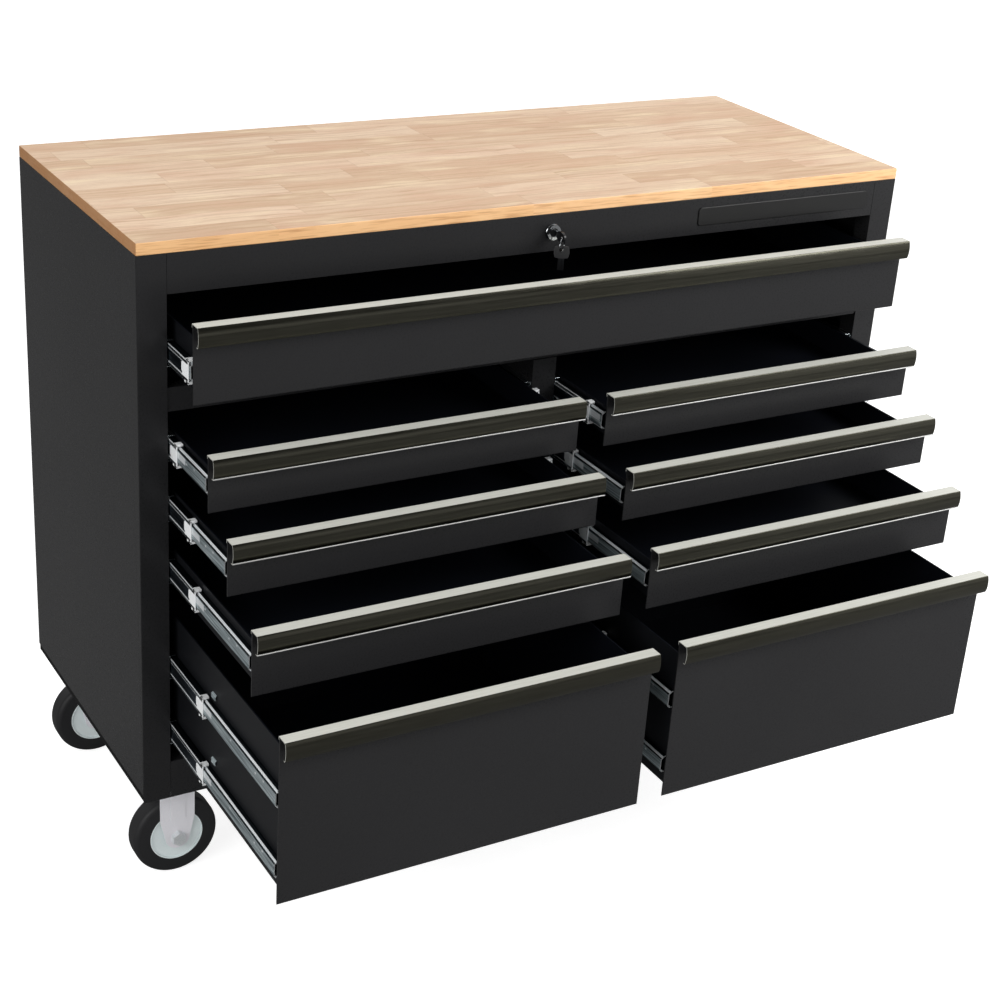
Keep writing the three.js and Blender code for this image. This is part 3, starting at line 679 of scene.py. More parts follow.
# %% The cabinet's sizes
sheet_radius = 0.3 * MM
bend_radius = 1.6 * MM
band_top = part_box("left_side_panel")[0].z + 11 * MM
band_recess = 1.5 * MM
touch = 0.1 * MM
screw_places = [(-15 * MM, 854 * MM), (-15 * MM, 799 * MM), (381 * MM, 858 * MM),
                (381 * MM, 803 * MM)]
dimple_radius = 4.3 * MM
dimple_depth = 1.7 * MM

# %% Choose finishes by place


def finish_faces(bm, choose):
    """Gives every face the material that choose returns for its middle and its normal."""
    for face in bm.faces:
        face.material_index = choose(face.calc_center_median(), face.normal)


def side_finish(middle, normal):
    """A side panel's finish by place: 0 coat, 1 slide member, 2 foot band in painted shade. Dimples
    are 3, in painted shade.
    """
    if abs(middle.x) < post_face - touch:
        return 1
    stepped_in = top_high.x - abs(middle.x) > band_recess - touch and abs(normal.x) > partly
    if middle.z < band_top and stepped_in and abs(middle.x) > post_face + slide_thickness:
        return 2
    return 0


# %% Dress the panels
for side, outside in sides:
    panel = merged_copy(f"{side}_side_panel")
    corner = [e for e in panel.edges
              if all(abs(v.co.x - outside) < touch and abs(v.co.y - front_plane) < touch
                     for v in e.verts)]
    round_off(panel, corner, bend_radius, steps=5)
    finish_faces(panel, side_finish)
    # The dimples' insides get painted shade.
    for y, z in screw_places:
        sink_hole(panel, Vector((outside, y, z)), dimple_radius,
                  -math.copysign(dimple_depth, outside), 3)
    finish_piece(f"{side}_side_panel_coated", panel, [coat_outside, zinc, coat_foot_painted_shade, hole_painted_shade],
                 "cabinet", [f"{side}_side_panel"], sheet_radius)

divider = merged_copy("centre_divider")
finish_faces(divider, lambda middle, normal: 1 if abs(middle.x) > -divider_face + touch else 0)
finish_piece("centre_divider_coated", divider, [coat_outside, zinc], "cabinet",
             ["centre_divider"], sheet_radius)
for name in ("back_panel", "bottom_pan", "front_top_rail", "cross_rail"):
    finish_piece(f"{name}_coated", merged_copy(name), [coat_outside], "cabinet",
                 [name], sheet_radius)
print("cabinet dressed")

# %% [markdown]
# ## The side screws
# Each screw is a black socket head a little smaller than its dimple. A short round bar is
# rounded on its edges, its outer face is inset and the inner disc is extruded in for the socket.
# The same lid is left over each socket, and the dimples' lids hide the screws.

# %% Model the side screws
screw_radius = 3.4 * MM
screw_sink = 0.1 * MM
screw_edge = 0.25 * MM
socket_radius = 1.5 * MM
socket_depth = 0.7 * MM

for side, outside in sides:
    inwards = -math.copysign(1, outside)
    screws = bmesh.new()
    for y, z in screw_places:
        foot = Vector((outside + inwards * dimple_depth, y, z))
        crown = Vector((outside + inwards * screw_sink, y, z))
        made = rod_in(screws, foot, crown, screw_radius, segments=20)
        top = max(faces_of(made), key=lambda f: -f.normal.x * inwards)
        bmesh.ops.inset_individual(screws, faces=[top], thickness=screw_radius - socket_radius)
        push_out(screws, [top], (inwards * socket_depth, 0, 0))
    finish_piece(f"{side}_side_screws", screws, [black_oxide], "cabinet",
                 bevel=screw_edge)
print("side screws:", len(sides) * len(screw_places))

# %% [markdown]
# ## The drawer trays
# A tray is one copy with four finishes: its front in the outside coat, its inside in a duller and
# darker coat as painted shade, since no light gets in, its flanks in another darker coat, also
# painted shade, and the strips behind its slides in dark zinc, painted shade behind the slides.
# The imported inner slide member is a plain channel. A truer one is drawn further on, so here its
# lips are pressed back onto its web, and what stays is the strip of steel that the slide is screwed
# to. The front's lower edge is a fold of the sheet, so it is rounder than a cut edge and catches a
# thin line of light.

# %% Dress the trays
front_depth = 7.5 * MM
hem_depth = 2.4 * MM
hem_radius = 1.0 * MM
shortest_hem = 24 * MM
strip_gauge = 1.2 * MM
flank_inset = slide_thickness - front_side_gap


def dress_tray(drawer):
    """A drawer's tray, with a folded foot, no lips on its flanks, and four finishes."""
    low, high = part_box(f"{drawer}_tray")
    left, right = low.x + flank_inset, high.x - flank_inset
    bm = merged_copy(f"{drawer}_tray")
    for v in bm.verts:
        if v.co.y > low.y + hem_depth:
            v.co.x = min(max(v.co.x, left - strip_gauge), right + strip_gauge)
    bmesh.ops.remove_doubles(bm, verts=bm.verts[:], dist=weld_distance)
    bmesh.ops.dissolve_degenerate(bm, dist=weld_distance, edges=bm.edges[:])
    foot = [e for e in bm.edges if e.is_manifold and e.calc_length() > shortest_hem
            and all(v.co.z < low.z + touch and v.co.y < low.y + touch for v in e.verts)]
    round_off(bm, foot, hem_radius, steps=4)
    bm.normal_update()

    def tray_finish(middle, normal):
        """0 front, 1 inside, 2 strip behind a slide, 3 flank."""
        beyond = middle.x < left - touch or middle.x > right + touch
        if beyond and middle.y > low.y + hem_depth:
            return 2
        if middle.y < low.y + front_depth:
            return 0
        on_flank = middle.x < left + touch or middle.x > right - touch
        return 3 if on_flank and abs(normal.x) > partly else 1

    finish_faces(bm, tray_finish)
    return bm


# The trays' insides, flanks and the strips behind the slides get painted shade.
for drawer in drawer_names:
    finish_piece(f"{drawer}_tray_coated", dress_tray(drawer),
                 [coat_outside, coat_inside_painted_shade, zinc_painted_shade_race, coat_flank_painted_shade], drawer,
                 [f"{drawer}_tray"], sheet_radius)
print("trays dressed:", len(drawer_names))

# %% [markdown]
# ## Bent sheet and extrusions
# A slide member and a handle are alike in one way: the same section runs along their whole
# length, and their wall is even. So the outer skin of the section is drawn as a line of points,
# the line is pulled along the length with extrude_edge_only, and solidify gives it its wall on
# the inner side. A direction that the skin faces is passed in too. Where the pulled faces look
# the other way, they are turned before they get their wall.

# %% A helper that pulls a section into a sheet


def pull_section(bm, points, pull, gauge, outward):
    """Pulls a line of points along a vector, and thickens it away from the outward side."""
    verts = [bm.verts.new(p) for p in points]
    edges = [bm.edges.new(pair) for pair in zip(verts, verts[1:])]
    pulled = bmesh.ops.extrude_edge_only(bm, edges=edges)["geom"]
    bmesh.ops.translate(bm, verts=[g for g in pulled if isinstance(g, bmesh.types.BMVert)],
                        vec=pull)
    faces = faces_of(verts)
    bmesh.ops.recalc_face_normals(bm, faces=faces)
    widest = max(faces, key=lambda f: abs(f.normal.dot(outward)) * f.calc_area())
    if widest.normal.dot(outward) < 0:
        bmesh.ops.reverse_faces(bm, faces=faces)
    bm.normal_update()
    bmesh.ops.solidify(bm, geom=faces, thickness=gauge)
    bm.normal_update()


# %% [markdown]
# ## The handles
# Each handle is a length of extruded aluminium that hooks over the drawer front: a flat top, a
# bowed front wall, and a foot turned in along the bottom. Seen from the end, the bow is a short
# arc, made by spinning one vertex. The section is pulled along the handle, and then its long
# corners are rounded. The top is painted pale as a painted highlight, the wall keeps the dark
# bronze, and the sawn ends are bare. The smaller drawers' handles end in a fine bead, painted pale
# as a painted highlight.

# %% Model the handles
handle_wall = 1.1 * MM
handle_bow = 2.6 * MM
handle_corner = 0.66 * MM
handle_foot = 4.0 * MM
hook_drop = 5.0 * MM
bow_steps = 14
corner_steps = 4
bead_radius = 0.9 * MM


def handle_line(low, high):
    """The outer skin of a handle's section, from its hook's end to its foot."""
    half, middle = (high.z - low.z) / 2, (high.z + low.z) / 2
    bow_radius = (half ** 2 + handle_bow ** 2) / (2 * handle_bow)
    bm = bmesh.new()
    points = [(low.x, high.y, high.z - hook_drop), (low.x, high.y, high.z),
              (low.x, low.y + handle_bow, high.z)]
    verts = [bm.verts.new(p) for p in points]
    arc = bmesh.ops.spin(bm, geom=verts[-1:], cent=(low.x, low.y + bow_radius, middle),
                         axis=(1, 0, 0), dvec=(0, 0, 0), angle=2 * math.asin(half / bow_radius),
                         steps=bow_steps, use_merge=False, use_duplicate=False)
    bm.verts.ensure_lookup_table()
    bowed = [v.co.copy() for v in bm.verts[len(points):]]
    end = next(g for g in arc["geom_last"] if isinstance(g, bmesh.types.BMVert)).co.copy()
    bm.free()
    return [Vector(p) for p in points] + bowed + [end + Vector((0, handle_foot, 0))]


def model_handle(drawer):
    """A drawer's handle, with its finishes chosen face by face."""
    low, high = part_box(f"{drawer}_handle")
    length = Vector((high.x - low.x, 0, 0))
    bm = bmesh.new()
    pull_section(bm, handle_line(low, high), length, handle_wall, Vector((0, 0, 1)))
    corners = [e for e in bm.edges if e.is_manifold and e.calc_face_angle() > sharp_angle
               and abs(e.verts[0].co.x - e.verts[1].co.x) > touch]
    round_off(bm, corners, handle_corner, corner_steps)
    bm.normal_update()
    for face in bm.faces:
        # Painted highlight: the up-facing top gets the pale material 1.
        upward = face.normal.z > squarely and face.calc_center_median().z > high.z - touch
        face.material_index = 1 if upward else 3 if abs(face.normal.x) > mostly else 0
    if not drawer.endswith(("4", "top_drawer")):
        # Painted highlight: the bead gets the pale material 2.
        bead = Vector((low.x, low.y + handle_bow - bead_radius / 2, low.z + bead_radius))
        rod_in(bm, bead, bead + length, bead_radius, segments=12, material=2)
    return bm


for drawer in drawer_names:
    finish_piece(f"{drawer}_handle_extrusion", model_handle(drawer),
                 [bronze, bronze_top_painted_highlight, bronze_bead_painted_highlight, bronze_end], drawer,
                 [f"{drawer}_handle"])
print("handles:", len(drawer_names))

# %% [markdown]
# ## The slides' middle members
# The middle member is a channel rolled from one strip. Its web is stepped in a little, so that
# the two ball races beside it stand out, and its lips turn in round the balls. The web is painted
# a dark blue-grey as painted shade, and the rolled edges and bends are painted near white as
# painted highlights.

# %% Model the middle members
middle_lip = 9.2 * MM
middle_half = 14 * MM
middle_gauge = 1.0 * MM
race_low, race_high = 8.0 * MM, 9.4 * MM
web_step = 0.5 * MM
bend_step = 1.0 * MM
bumper_lap = 1.0 * MM
member_edge = 0.2 * MM
bend_slant = 0.95           # a face that is less square than this to X and Z lies in a bend


def mirrored(half_line):
    """A section's upper half and its mirror below, as one line from top to bottom."""
    return half_line + [(depth, -z) for depth, z in reversed(half_line)]


def member_finish(z_middle, web_half, groove_half):
    """0 plain, 1 the web, 2 cut ends and bends with a painted highlight, 4 lips and the race by the
    web with painted shade.
    """
    def choose(middle, normal):
        height = abs(middle.z - z_middle)
        if abs(normal.z) > mostly:
            return 4
        if abs(normal.y) > mostly or max(abs(normal.x), abs(normal.z)) < bend_slant:
            return 2
        return 1 if height < web_half else 4 if height < groove_half else 0
    return choose


middle_line = mirrored([(middle_lip, middle_half), (bend_step, middle_half),
                        (0, middle_half - bend_step), (0, race_high), (web_step, race_low)])
for drawer, name in slides:
    low, high, z_middle, web, inwards = member_place(name)
    start = low.y + bumper_lap
    member = bmesh.new()
    pull_section(member, [(web + inwards * depth, start, z_middle + z) for depth, z in middle_line],
                 (0, high.y - start, 0), middle_gauge, Vector((-inwards, 0, 0)))
    # The web and the race bands get painted shade, the cut ends and bends a painted highlight.
    finish_faces(member, member_finish(z_middle, race_low - touch, race_high - touch))
    finish_piece(f"{name}_channel", member, [zinc, zinc_painted_shade_web, zinc_painted_highlight, hole_painted_shade, zinc_painted_shade_race],
                 f"{drawer}_slides", [name], member_edge)
print("middle members:", len(slides))

# %% [markdown]
# ## The bumpers
# A white moulded bumper is clipped over each middle member's front end. It keeps the member
# central and stops it softly. From the side it is a stepped outline with a hook below, so it is
# drawn as that outline and given its thickness, and two ears reach round the member's lips.

# %% Model the bumpers
bumper_outline = [          # millimetres back from the member's front end, and up from its middle
    (0, 16), (7, 16), (8, 12.5), (13, 9), (18, 8.5), (22, 7), (22, -4.5), (19, -5.5), (19, -7),
    (21, -8), (20, -11.5), (12, -12.5), (12, -16), (0, -16)]
bumper_thickness = 1.55 * MM
bumper_round = 0.9 * MM
bumper_edge = 0.35 * MM
ear_low, ear_high = 12.9 * MM, 16 * MM
ear_length = 8 * MM
ear_reach = 9.0 * MM

for drawer, name in slides:
    low, high, z_middle, web, inwards = member_place(name)
    bumper = bmesh.new()
    bumper.faces.new([bumper.verts.new((web, low.y + back * MM, z_middle + z * MM))
                      for back, z in bumper_outline])
    round_off(bumper, bumper.verts[:], bumper_round, steps=3, affect="VERTICES")
    push_out(bumper, bumper.faces[:], (inwards * bumper_thickness, 0, 0))
    bmesh.ops.recalc_face_normals(bumper, faces=bumper.faces[:])
    for lift in (-1, 1):
        reach = sorted((web, web + inwards * ear_reach))
        rise = sorted((z_middle + lift * ear_low, z_middle + lift * ear_high))
        box_in(bumper, (reach[0], low.y, rise[0]), (reach[1], low.y + ear_length, rise[1]))
    finish_piece(f"{name}_bumper", bumper, [acetal], f"{drawer}_slides",
                 bevel=bumper_edge)
print("bumpers:", len(slides))

# %% [markdown]
# ## The inner members
# The inner member is screwed to the tray and runs inside the middle one. Its web faces out, and
# a ball race is rolled into each edge, so the section steps in above and below the web. It is
# punched with screw holes, whose insides are painted near black as painted shade, and between them
# stand rivets and pressed dimples; the rivets are painted near white as painted highlights. Near
# the bumper lies the tongue of the latch that frees the drawer, painted near white as a painted
# highlight. Places on it are millimetres back from the drawer's front, and up from the slide's
# middle.

# %% Model the inner members
inner_gauge = 1.2 * MM
inner_section = [(0, 12.5), (5.6, 12.5), (6.4, 11.6), (5.6, 10.6), (7.2, 9.6), (8.9, 9.2),
                 (8.9, 8.2)]
inner_line = mirrored([(depth * MM, z * MM) for depth, z in inner_section])
inner_web = 8.9 * MM
web_half, groove_half = 8.4 * MM, 11.0 * MM
inner_start = 13 * MM
inner_length = 389 * MM
punch_places = [(32, 4.5), (125, 4.5), (174, 0), (186, 0), (262, 4.5), (330, 0)]
punch_radius = 2.0 * MM
punch_depth = 1.0 * MM
rivet_places = [(49, 4.5), (73, 2), (150, 4), (240, 4), (300, 2)]
rivet_radius = 1.7 * MM
rivet_crown = 0.55          # the crown's share of the radius
rivet_height = 0.25 * MM
tongue_ahead = 25 * MM
tongue_behind = 6 * MM
tongue_setback = 4 * MM
shortest_tongue = 5 * MM
tongue_low, tongue_high = -2 * MM, 7 * MM
tongue_gauge = 0.15 * MM


def model_inner(drawer, name):
    """The inner member of one slide, with its holes, its rivets and the latch's tongue."""
    low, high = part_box(f"{drawer}_tray")
    member_low, _, z_middle, _, inwards = member_place(name)
    flank = low.x + flank_inset if inwards > 0 else high.x - flank_inset
    start = low.y + inner_start
    bm = bmesh.new()
    pull_section(bm, [(flank - inwards * depth, start, z_middle + z) for depth, z in inner_line],
                 (0, inner_length, 0), inner_gauge, Vector((-inwards, 0, 0)))
    finish_faces(bm, member_finish(z_middle, web_half, groove_half))
    web = flank - inwards * inner_web
    # The holes' insides get painted shade, the rivets and the tongue a painted highlight.
    for back, z in punch_places:
        at = Vector((web, low.y + back * MM, z_middle + z * MM))
        sink_hole(bm, at, punch_radius, inwards * punch_depth, 3)
    for back, z in rivet_places:
        at = Vector((web, low.y + back * MM, z_middle + z * MM))
        rod_in(bm, at, at - Vector((inwards * rivet_height, 0, 0)), rivet_radius, segments=16,
               end_radius=rivet_radius * rivet_crown, material=2)
    tongue_front = max(member_low.y - tongue_ahead, start + tongue_setback)
    if member_low.y - tongue_front > shortest_tongue:
        span = sorted((web, web - inwards * tongue_gauge))
        box_in(bm, (span[0], tongue_front, z_middle + tongue_low),
               (span[1], member_low.y + tongue_behind, z_middle + tongue_high), 2)
    return bm


for drawer, name in slides:
    finish_piece(f"{name}_inner_member", model_inner(drawer, name),
                 [zinc, zinc_web, zinc_painted_highlight, hole_painted_shade, zinc_painted_shade_race], drawer)
print("inner members:", len(slides))

# %% [markdown]
# ## Tabs on the deep drawers
# The deep trays' sides carry small bent tabs beside the slides. Each is a short strip that is
# pressed out of the sheet and folded once, so a bent line is pulled and thickened.

# %% Model the tabs
tab_heights = [(386 * MM, 378 * MM), (289 * MM, 281 * MM)]
tab_from_front = 217 * MM
tab_run = 13 * MM
tab_gauge = 0.9 * MM
tab_reach = 2.2 * MM
tab_edge = 0.2 * MM

for drawer in ("left_drawer_4", "right_drawer_4"):
    low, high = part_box(f"{drawer}_tray")
    y = low.y + tab_from_front
    tabs = bmesh.new()
    for flank, out in ((low.x + flank_inset, -1), (high.x - flank_inset, 1)):
        for top, bottom in tab_heights:
            line = [(flank, y, top), (flank + out * tab_reach, y, top - tab_reach),
                    (flank + out * tab_reach, y, bottom)]
            pull_section(tabs, line, (0, tab_run, 0), tab_gauge, Vector((out, 0, 0)))
    finish_piece(f"{drawer}_flank_tabs", tabs, [zinc_web], drawer, bevel=tab_edge)
print("tabs on each deep drawer:", 2 * len(tab_heights))

# %% [markdown]
# ## Wheels
# The tyre is a ring of rubber with round shoulders, and the wheel centre a moulded disc with a
# rim and a hub boss. Both are turned shapes, so each starts as a section in a plane through the
# axle, its corners are rounded, and it is spun a full turn about the axle.

# %% Model the wheels
wheel_radius = 61 * MM
tyre_half = 16.5 * MM
shoulder = 7.5 * MM
rim_radius = 38.5 * MM
rim_lip = 1.8 * MM
rim_proud = 0.4 * MM
rim_round = 0.6 * MM
hub_radius = 14 * MM
hub_half = 18 * MM
disc_half = 14.5 * MM
bore_radius = 6.3 * MM
spin_steps = 96


def spun_ring(centre, section, rounded, radius):
    """Spins a closed section of (radius, width) points about an axle along Y."""
    bm = bmesh.new()
    verts = [bm.verts.new(centre + Vector((0, width, out))) for out, width in section]
    bm.faces.new(verts)
    round_off(bm, [verts[i] for i in rounded], radius, steps=6, affect="VERTICES")
    edges = bm.edges[:]
    bmesh.ops.delete(bm, geom=bm.faces[:], context="FACES_ONLY")
    bmesh.ops.spin(bm, geom=edges, cent=centre, axis=(0, 1, 0), dvec=(0, 0, 0),
                   angle=math.tau, steps=spin_steps, use_merge=True, use_duplicate=False)
    bmesh.ops.remove_doubles(bm, verts=bm.verts[:], dist=weld_distance)
    bmesh.ops.recalc_face_normals(bm, faces=bm.faces[:])
    return bm


rim_in, rim_face = rim_radius - rim_lip, tyre_half + rim_proud
tyre = [(rim_radius, -tyre_half), (wheel_radius, -tyre_half), (wheel_radius, tyre_half),
        (rim_radius, tyre_half)]
disc = [(bore_radius, -hub_half), (hub_radius, -hub_half), (hub_radius, -disc_half),
        (rim_in, -disc_half), (rim_in, -rim_face), (rim_radius, -rim_face),
        (rim_radius, rim_face), (rim_in, rim_face), (rim_in, disc_half),
        (hub_radius, disc_half), (hub_radius, hub_half), (bore_radius, hub_half)]
wheels = [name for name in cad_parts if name.endswith("_wheel")]
for name in wheels:
    low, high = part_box(name)
    centre = (low + high) / 2
    centre.z = wheel_radius
    finish_piece(f"{name}_tyre", spun_ring(centre, tyre, (1, 2), shoulder), [rubber], name,
                 [name])
    finish_piece(f"{name}_centre", spun_ring(centre, disc, (4, 5, 6, 7), rim_round),
                 [wheel_centre], name)
print("wheels:", len(wheels))

# %% [markdown]
# ## Forks and swivel plates
# These keep the imported shape with softened edges. The forks' bolts and the flanks of the rib
# that is pressed into each leg are painted near white, as painted highlights.

# %% Dress the forks and the swivel plates
fork_edge = 0.8 * MM
bolt_reach = 11 * MM
bolt_face = 21.6 * MM
rib_half = 11 * MM


def fork_finish(axle):
    """The bolt's heads and the flanks of the pressed ribs get a painted highlight, and the rest is
    the caster paint.
    """
    def choose(middle, normal):
        near = math.hypot(middle.x - axle.x, middle.z - wheel_radius) < bolt_reach
        if near and abs(middle.y - axle.y) > bolt_face:
            return 1
        on_flank = abs(abs(middle.x - axle.x) - rib_half) < touch and abs(normal.x) > mostly
        return 1 if on_flank and middle.z > wheel_radius + bolt_reach else 0
    return choose


forks = [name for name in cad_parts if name.endswith("_caster_fork")]
for name in forks:
    wheel_low, wheel_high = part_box(name.replace("_caster_fork", "_wheel"))
    fork = merged_copy(name)
    finish_faces(fork, fork_finish((wheel_low + wheel_high) / 2))
    body = name.replace("_caster_fork", "_swivel") if name.startswith("right") else "cabinet"
    finish_piece(f"{name}_painted", fork, [caster_paint, zinc_painted_highlight], body,
                 [name], fork_edge)
for name in [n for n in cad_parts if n.endswith("_swivel_plate")]:
    finish_piece(f"{name}_painted", merged_copy(name), [caster_paint], "cabinet",
                 [name], sheet_radius)
print("forks:", len(forks))

# %% [markdown]
# ## The lock's bezel
# A drawer lock has a turned bezel with a domed edge. It is spun from a short section, as the
# wheels are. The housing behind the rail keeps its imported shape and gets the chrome.

# %% Model the bezel
lock_low, lock_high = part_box("lock_housing")
lock_x = (lock_low.x + lock_high.x) / 2
lock_z = (lock_low.z + lock_high.z) / 2
bezel_radius = 11 * MM
bezel_reach = front_plane - lock_low.y
bezel_round = 1.0 * MM
dome_width = 2.5 * MM
dome_depth = 3.2 * MM
plug_radius = 7.2 * MM
plug_play = 0.2 * MM
mouth_width = 1.2 * MM
mouth_depth = 0.6 * MM

bezel_section = [
    (plug_radius + plug_play, -bezel_reach + mouth_depth),
    (plug_radius + mouth_width, -bezel_reach), (bezel_radius - dome_width, -bezel_reach),
    (bezel_radius, -bezel_reach + dome_depth), (bezel_radius, 0), (plug_radius + plug_play, 0)]
bezel = spun_ring(Vector((lock_x, front_plane, lock_z)), bezel_section, (1, 2, 3), bezel_round)
finish_piece("lock_bezel", bezel, [chrome], "cabinet")
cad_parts["lock_housing"].data.materials.clear()
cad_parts["lock_housing"].data.materials.append(chrome)
print("lock at", round(lock_x / MM, 1), round(lock_z / MM, 1))

# %% [markdown]
# ## A plate with a hole
# Both keys' bows are moulded plates with a round hole. The outline starts as a circle. Its
# points are pushed outwards along the diagonals where the bow is squarer, and it is scaled to
# the bow's width and height. A small circle makes the hole, bridge_loops joins the two, and the
# flat ring between them is extruded to its thickness.

# %% A helper for a plate with a hole
bow_segments = 40


def axes(across, up):
    """A turn that lays X along one direction and Y along another, and Z square to both."""
    return Matrix((across, up, across.cross(up))).transposed().to_4x4()


def holed_plate(bm, place, size, hole_radius, hole_up, material, squareness=0.0):
    """A plate of a width, height and thickness, placed by a matrix. Returns its vertices."""
    wide, tall, thick = size
    rim = bmesh.ops.create_circle(bm, segments=bow_segments, radius=1.0, cap_ends=False)["verts"]
    for v in rim:
        v.co *= max(abs(v.co.x), abs(v.co.y)) ** -squareness
    bmesh.ops.transform(bm, matrix=Matrix.Diagonal((wide / 2, tall / 2, 1, 1)), verts=rim)
    hole = bmesh.ops.create_circle(bm, segments=bow_segments, radius=hole_radius,
                                   cap_ends=False)["verts"]
    bmesh.ops.translate(bm, verts=hole, vec=(0, hole_up, 0))
    loops = list(dict.fromkeys(e for v in rim + hole for e in v.link_edges))
    faces = bmesh.ops.bridge_loops(bm, edges=loops)["faces"]
    everything = rim + hole + push_out(bm, faces, (0, 0, thick), use_keep_orig=True)[0]
    bmesh.ops.transform(bm, matrix=place @ Matrix.Translation((0, 0, -thick / 2)), verts=everything)
    bmesh.ops.recalc_face_normals(bm, faces=faces_of(everything))
    paint(faces_of(everything), material)
    return everything


# %% [markdown]
# ## The plug and its key
# The plug is a short round bar in the bezel. The key sticks out of it: a blade, and over the
# blade an oval bow in black plastic, whose hole lies towards its front. Behind the plug sits the
# cam that catches the drawers.

# %% Model the plug and its key
plug_low, plug_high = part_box("lock_plug_with_key")
plug_reach = 4.5 * MM
plug_edge = 0.6 * MM
cam_front = 2.2 * MM
cam_thickness = 2 * MM
blade_height = 8 * MM
blade_thickness = 2 * MM
blade_lap = 1 * MM
bow_length = 20 * MM
bow_height = 14 * MM
bow_thickness = 4 * MM
bow_hole = 2.6 * MM
bow_hole_inset = 6 * MM
bow_edge = 0.7 * MM

plug_front = front_plane - plug_reach
bow_middle = plug_low.y + bow_length / 2
plug = bmesh.new()
bar = rod_in(plug, (lock_x, plug_high.y - cam_front, lock_z), (lock_x, plug_front, lock_z),
             plug_radius, segments=32, material=2)
round_sharp(plug, bar, plug_edge, steps=3)
box_in(plug, (lock_x - blade_thickness / 2, bow_middle, lock_z - blade_height / 2),
       (lock_x + blade_thickness / 2, plug_front + blade_lap, lock_z + blade_height / 2))
bow_turn = axes(Vector((0, 0, 1)), Vector((0, -1, 0)))
bow = holed_plate(plug, Matrix.Translation((lock_x, bow_middle, lock_z)) @ bow_turn,
                  (bow_height, bow_length, bow_thickness), bow_hole,
                  bow_length / 2 - bow_hole_inset, material=1)
round_sharp(plug, bow, bow_edge, steps=2)
box_in(plug, (lock_x - plug_radius, plug_high.y - cam_thickness, plug_low.z),
       (lock_x + plug_radius, plug_high.y, lock_z))
finish_piece("lock_plug_and_key", plug, [chrome, key_plastic, black_oxide], "lock_plug",
             ["lock_plug_with_key"])
print("key's front at", round(plug_low.y / MM, 1))

# %% [markdown]
# ## The ring and the spare key
# A wire ring runs through the bow's hole, and the spare key hangs from it. A ring is a torus: a
# small circle spun a full turn. The spare's bow is a rounded plate with a hole near its top and a
# blade below. It hangs straight down, turned a little towards the front.

# %% Model the ring and the spare key
upwards = Vector((0, 0, 1))
ring_radius = 9 * MM
ring_wire = 0.7 * MM
ring_drop = 1.6 * MM
ring_turn = Vector((0.78, 0.62, 0)).normalized()
ring_middle = Vector((lock_x, plug_low.y + bow_hole_inset, lock_z - ring_radius - ring_drop))
spare_turn = Vector((0.85, -0.52, 0)).normalized()
spare_size = (21 * MM, 18 * MM, 2.6 * MM)
spare_hole = 3 * MM
spare_hole_up = spare_size[1] / 2 - 5.5 * MM
spare_squareness = 0.55
spare_edge = 0.6 * MM
blade_size = (8.5 * MM, 17 * MM, 1.8 * MM)

ring = bmesh.new()
wire = bmesh.ops.create_circle(ring, segments=10, radius=ring_wire, cap_ends=False)["verts"]
bmesh.ops.transform(ring, verts=wire, matrix=axes(ring_turn, upwards)
                    @ Matrix.Rotation(math.pi / 2, 4, "X"))
bmesh.ops.translate(ring, verts=wire, vec=ring_middle + ring_turn * ring_radius)
bmesh.ops.spin(ring, geom=ring.edges[:], cent=ring_middle, axis=ring_turn.cross(upwards),
               dvec=(0, 0, 0), angle=math.tau, steps=48, use_merge=True, use_duplicate=False)
bmesh.ops.remove_doubles(ring, verts=ring.verts[:], dist=weld_distance)
bmesh.ops.recalc_face_normals(ring, faces=ring.faces[:])
finish_piece("key_ring", ring, [chrome], "cabinet")

spare = bmesh.new()
spare_middle = ring_middle - upwards * (ring_radius - spare_hole + spare_hole_up)
spare_foot = spare_middle - upwards * (spare_size[1] / 2 - blade_lap)
spare_bow = holed_plate(spare, Matrix.Translation(spare_middle) @ axes(spare_turn, upwards),
                        spare_size, spare_hole, spare_hole_up, 0, spare_squareness)
round_sharp(spare, spare_bow, spare_edge, steps=2)
blade = box_in(spare, (-blade_size[0] / 2, -blade_size[1], -blade_size[2] / 2),
               (blade_size[0] / 2, 0, blade_size[2] / 2), 1)
bmesh.ops.transform(spare, matrix=Matrix.Translation(spare_foot) @ axes(spare_turn, upwards),
                    verts=blade)
finish_piece("spare_key", spare, [spare_plastic, key_steel], "cabinet")
print("spare key hangs to", round((spare_foot.z - blade_size[1]) / MM, 1))

# %% [markdown]
# ## Badge plate
# A bare plate sits on the top rail: a glossy black moulding with rounded corners, slightly
# raised. It is a flat cube whose four upright edges are rounded first, and then its rim.

# %% Model the badge plate
badge_left, badge_right = 232 * MM, 533 * MM
badge_bottom, badge_top = 889 * MM, 915 * MM
badge_rise = 1.6 * MM
badge_corner = 5 * MM
badge_edge = 0.8 * MM

badge = bmesh.new()
box_in(badge, (badge_left, front_plane - badge_rise, badge_bottom),
       (badge_right, front_plane, badge_top))
corners = [e for e in badge.edges if abs(e.verts[0].co.y - e.verts[1].co.y) > touch]
round_off(badge, corners, badge_corner, steps=8)
rim = [e for e in badge.edges if all(v.co.y < front_plane - touch for v in e.verts)]
round_off(badge, rim, badge_edge, steps=3)
finish_piece("badge_plate", badge, [badge_gloss], "cabinet")
print("badge plate", round((badge_right - badge_left) / MM), "mm wide")

# %% [markdown]
# ## The floor
# The bench stands on a sheet of matt white paper. Cameras see it lifted to plain white, with the
# bench's shadow kept. Shiny surfaces see it darker, as a floor beyond the paper would look, so
# that the black sheet metal doesn't turn grey.

# %% Lay the floor
floor_size = 30.0
camera_lift = 0.82

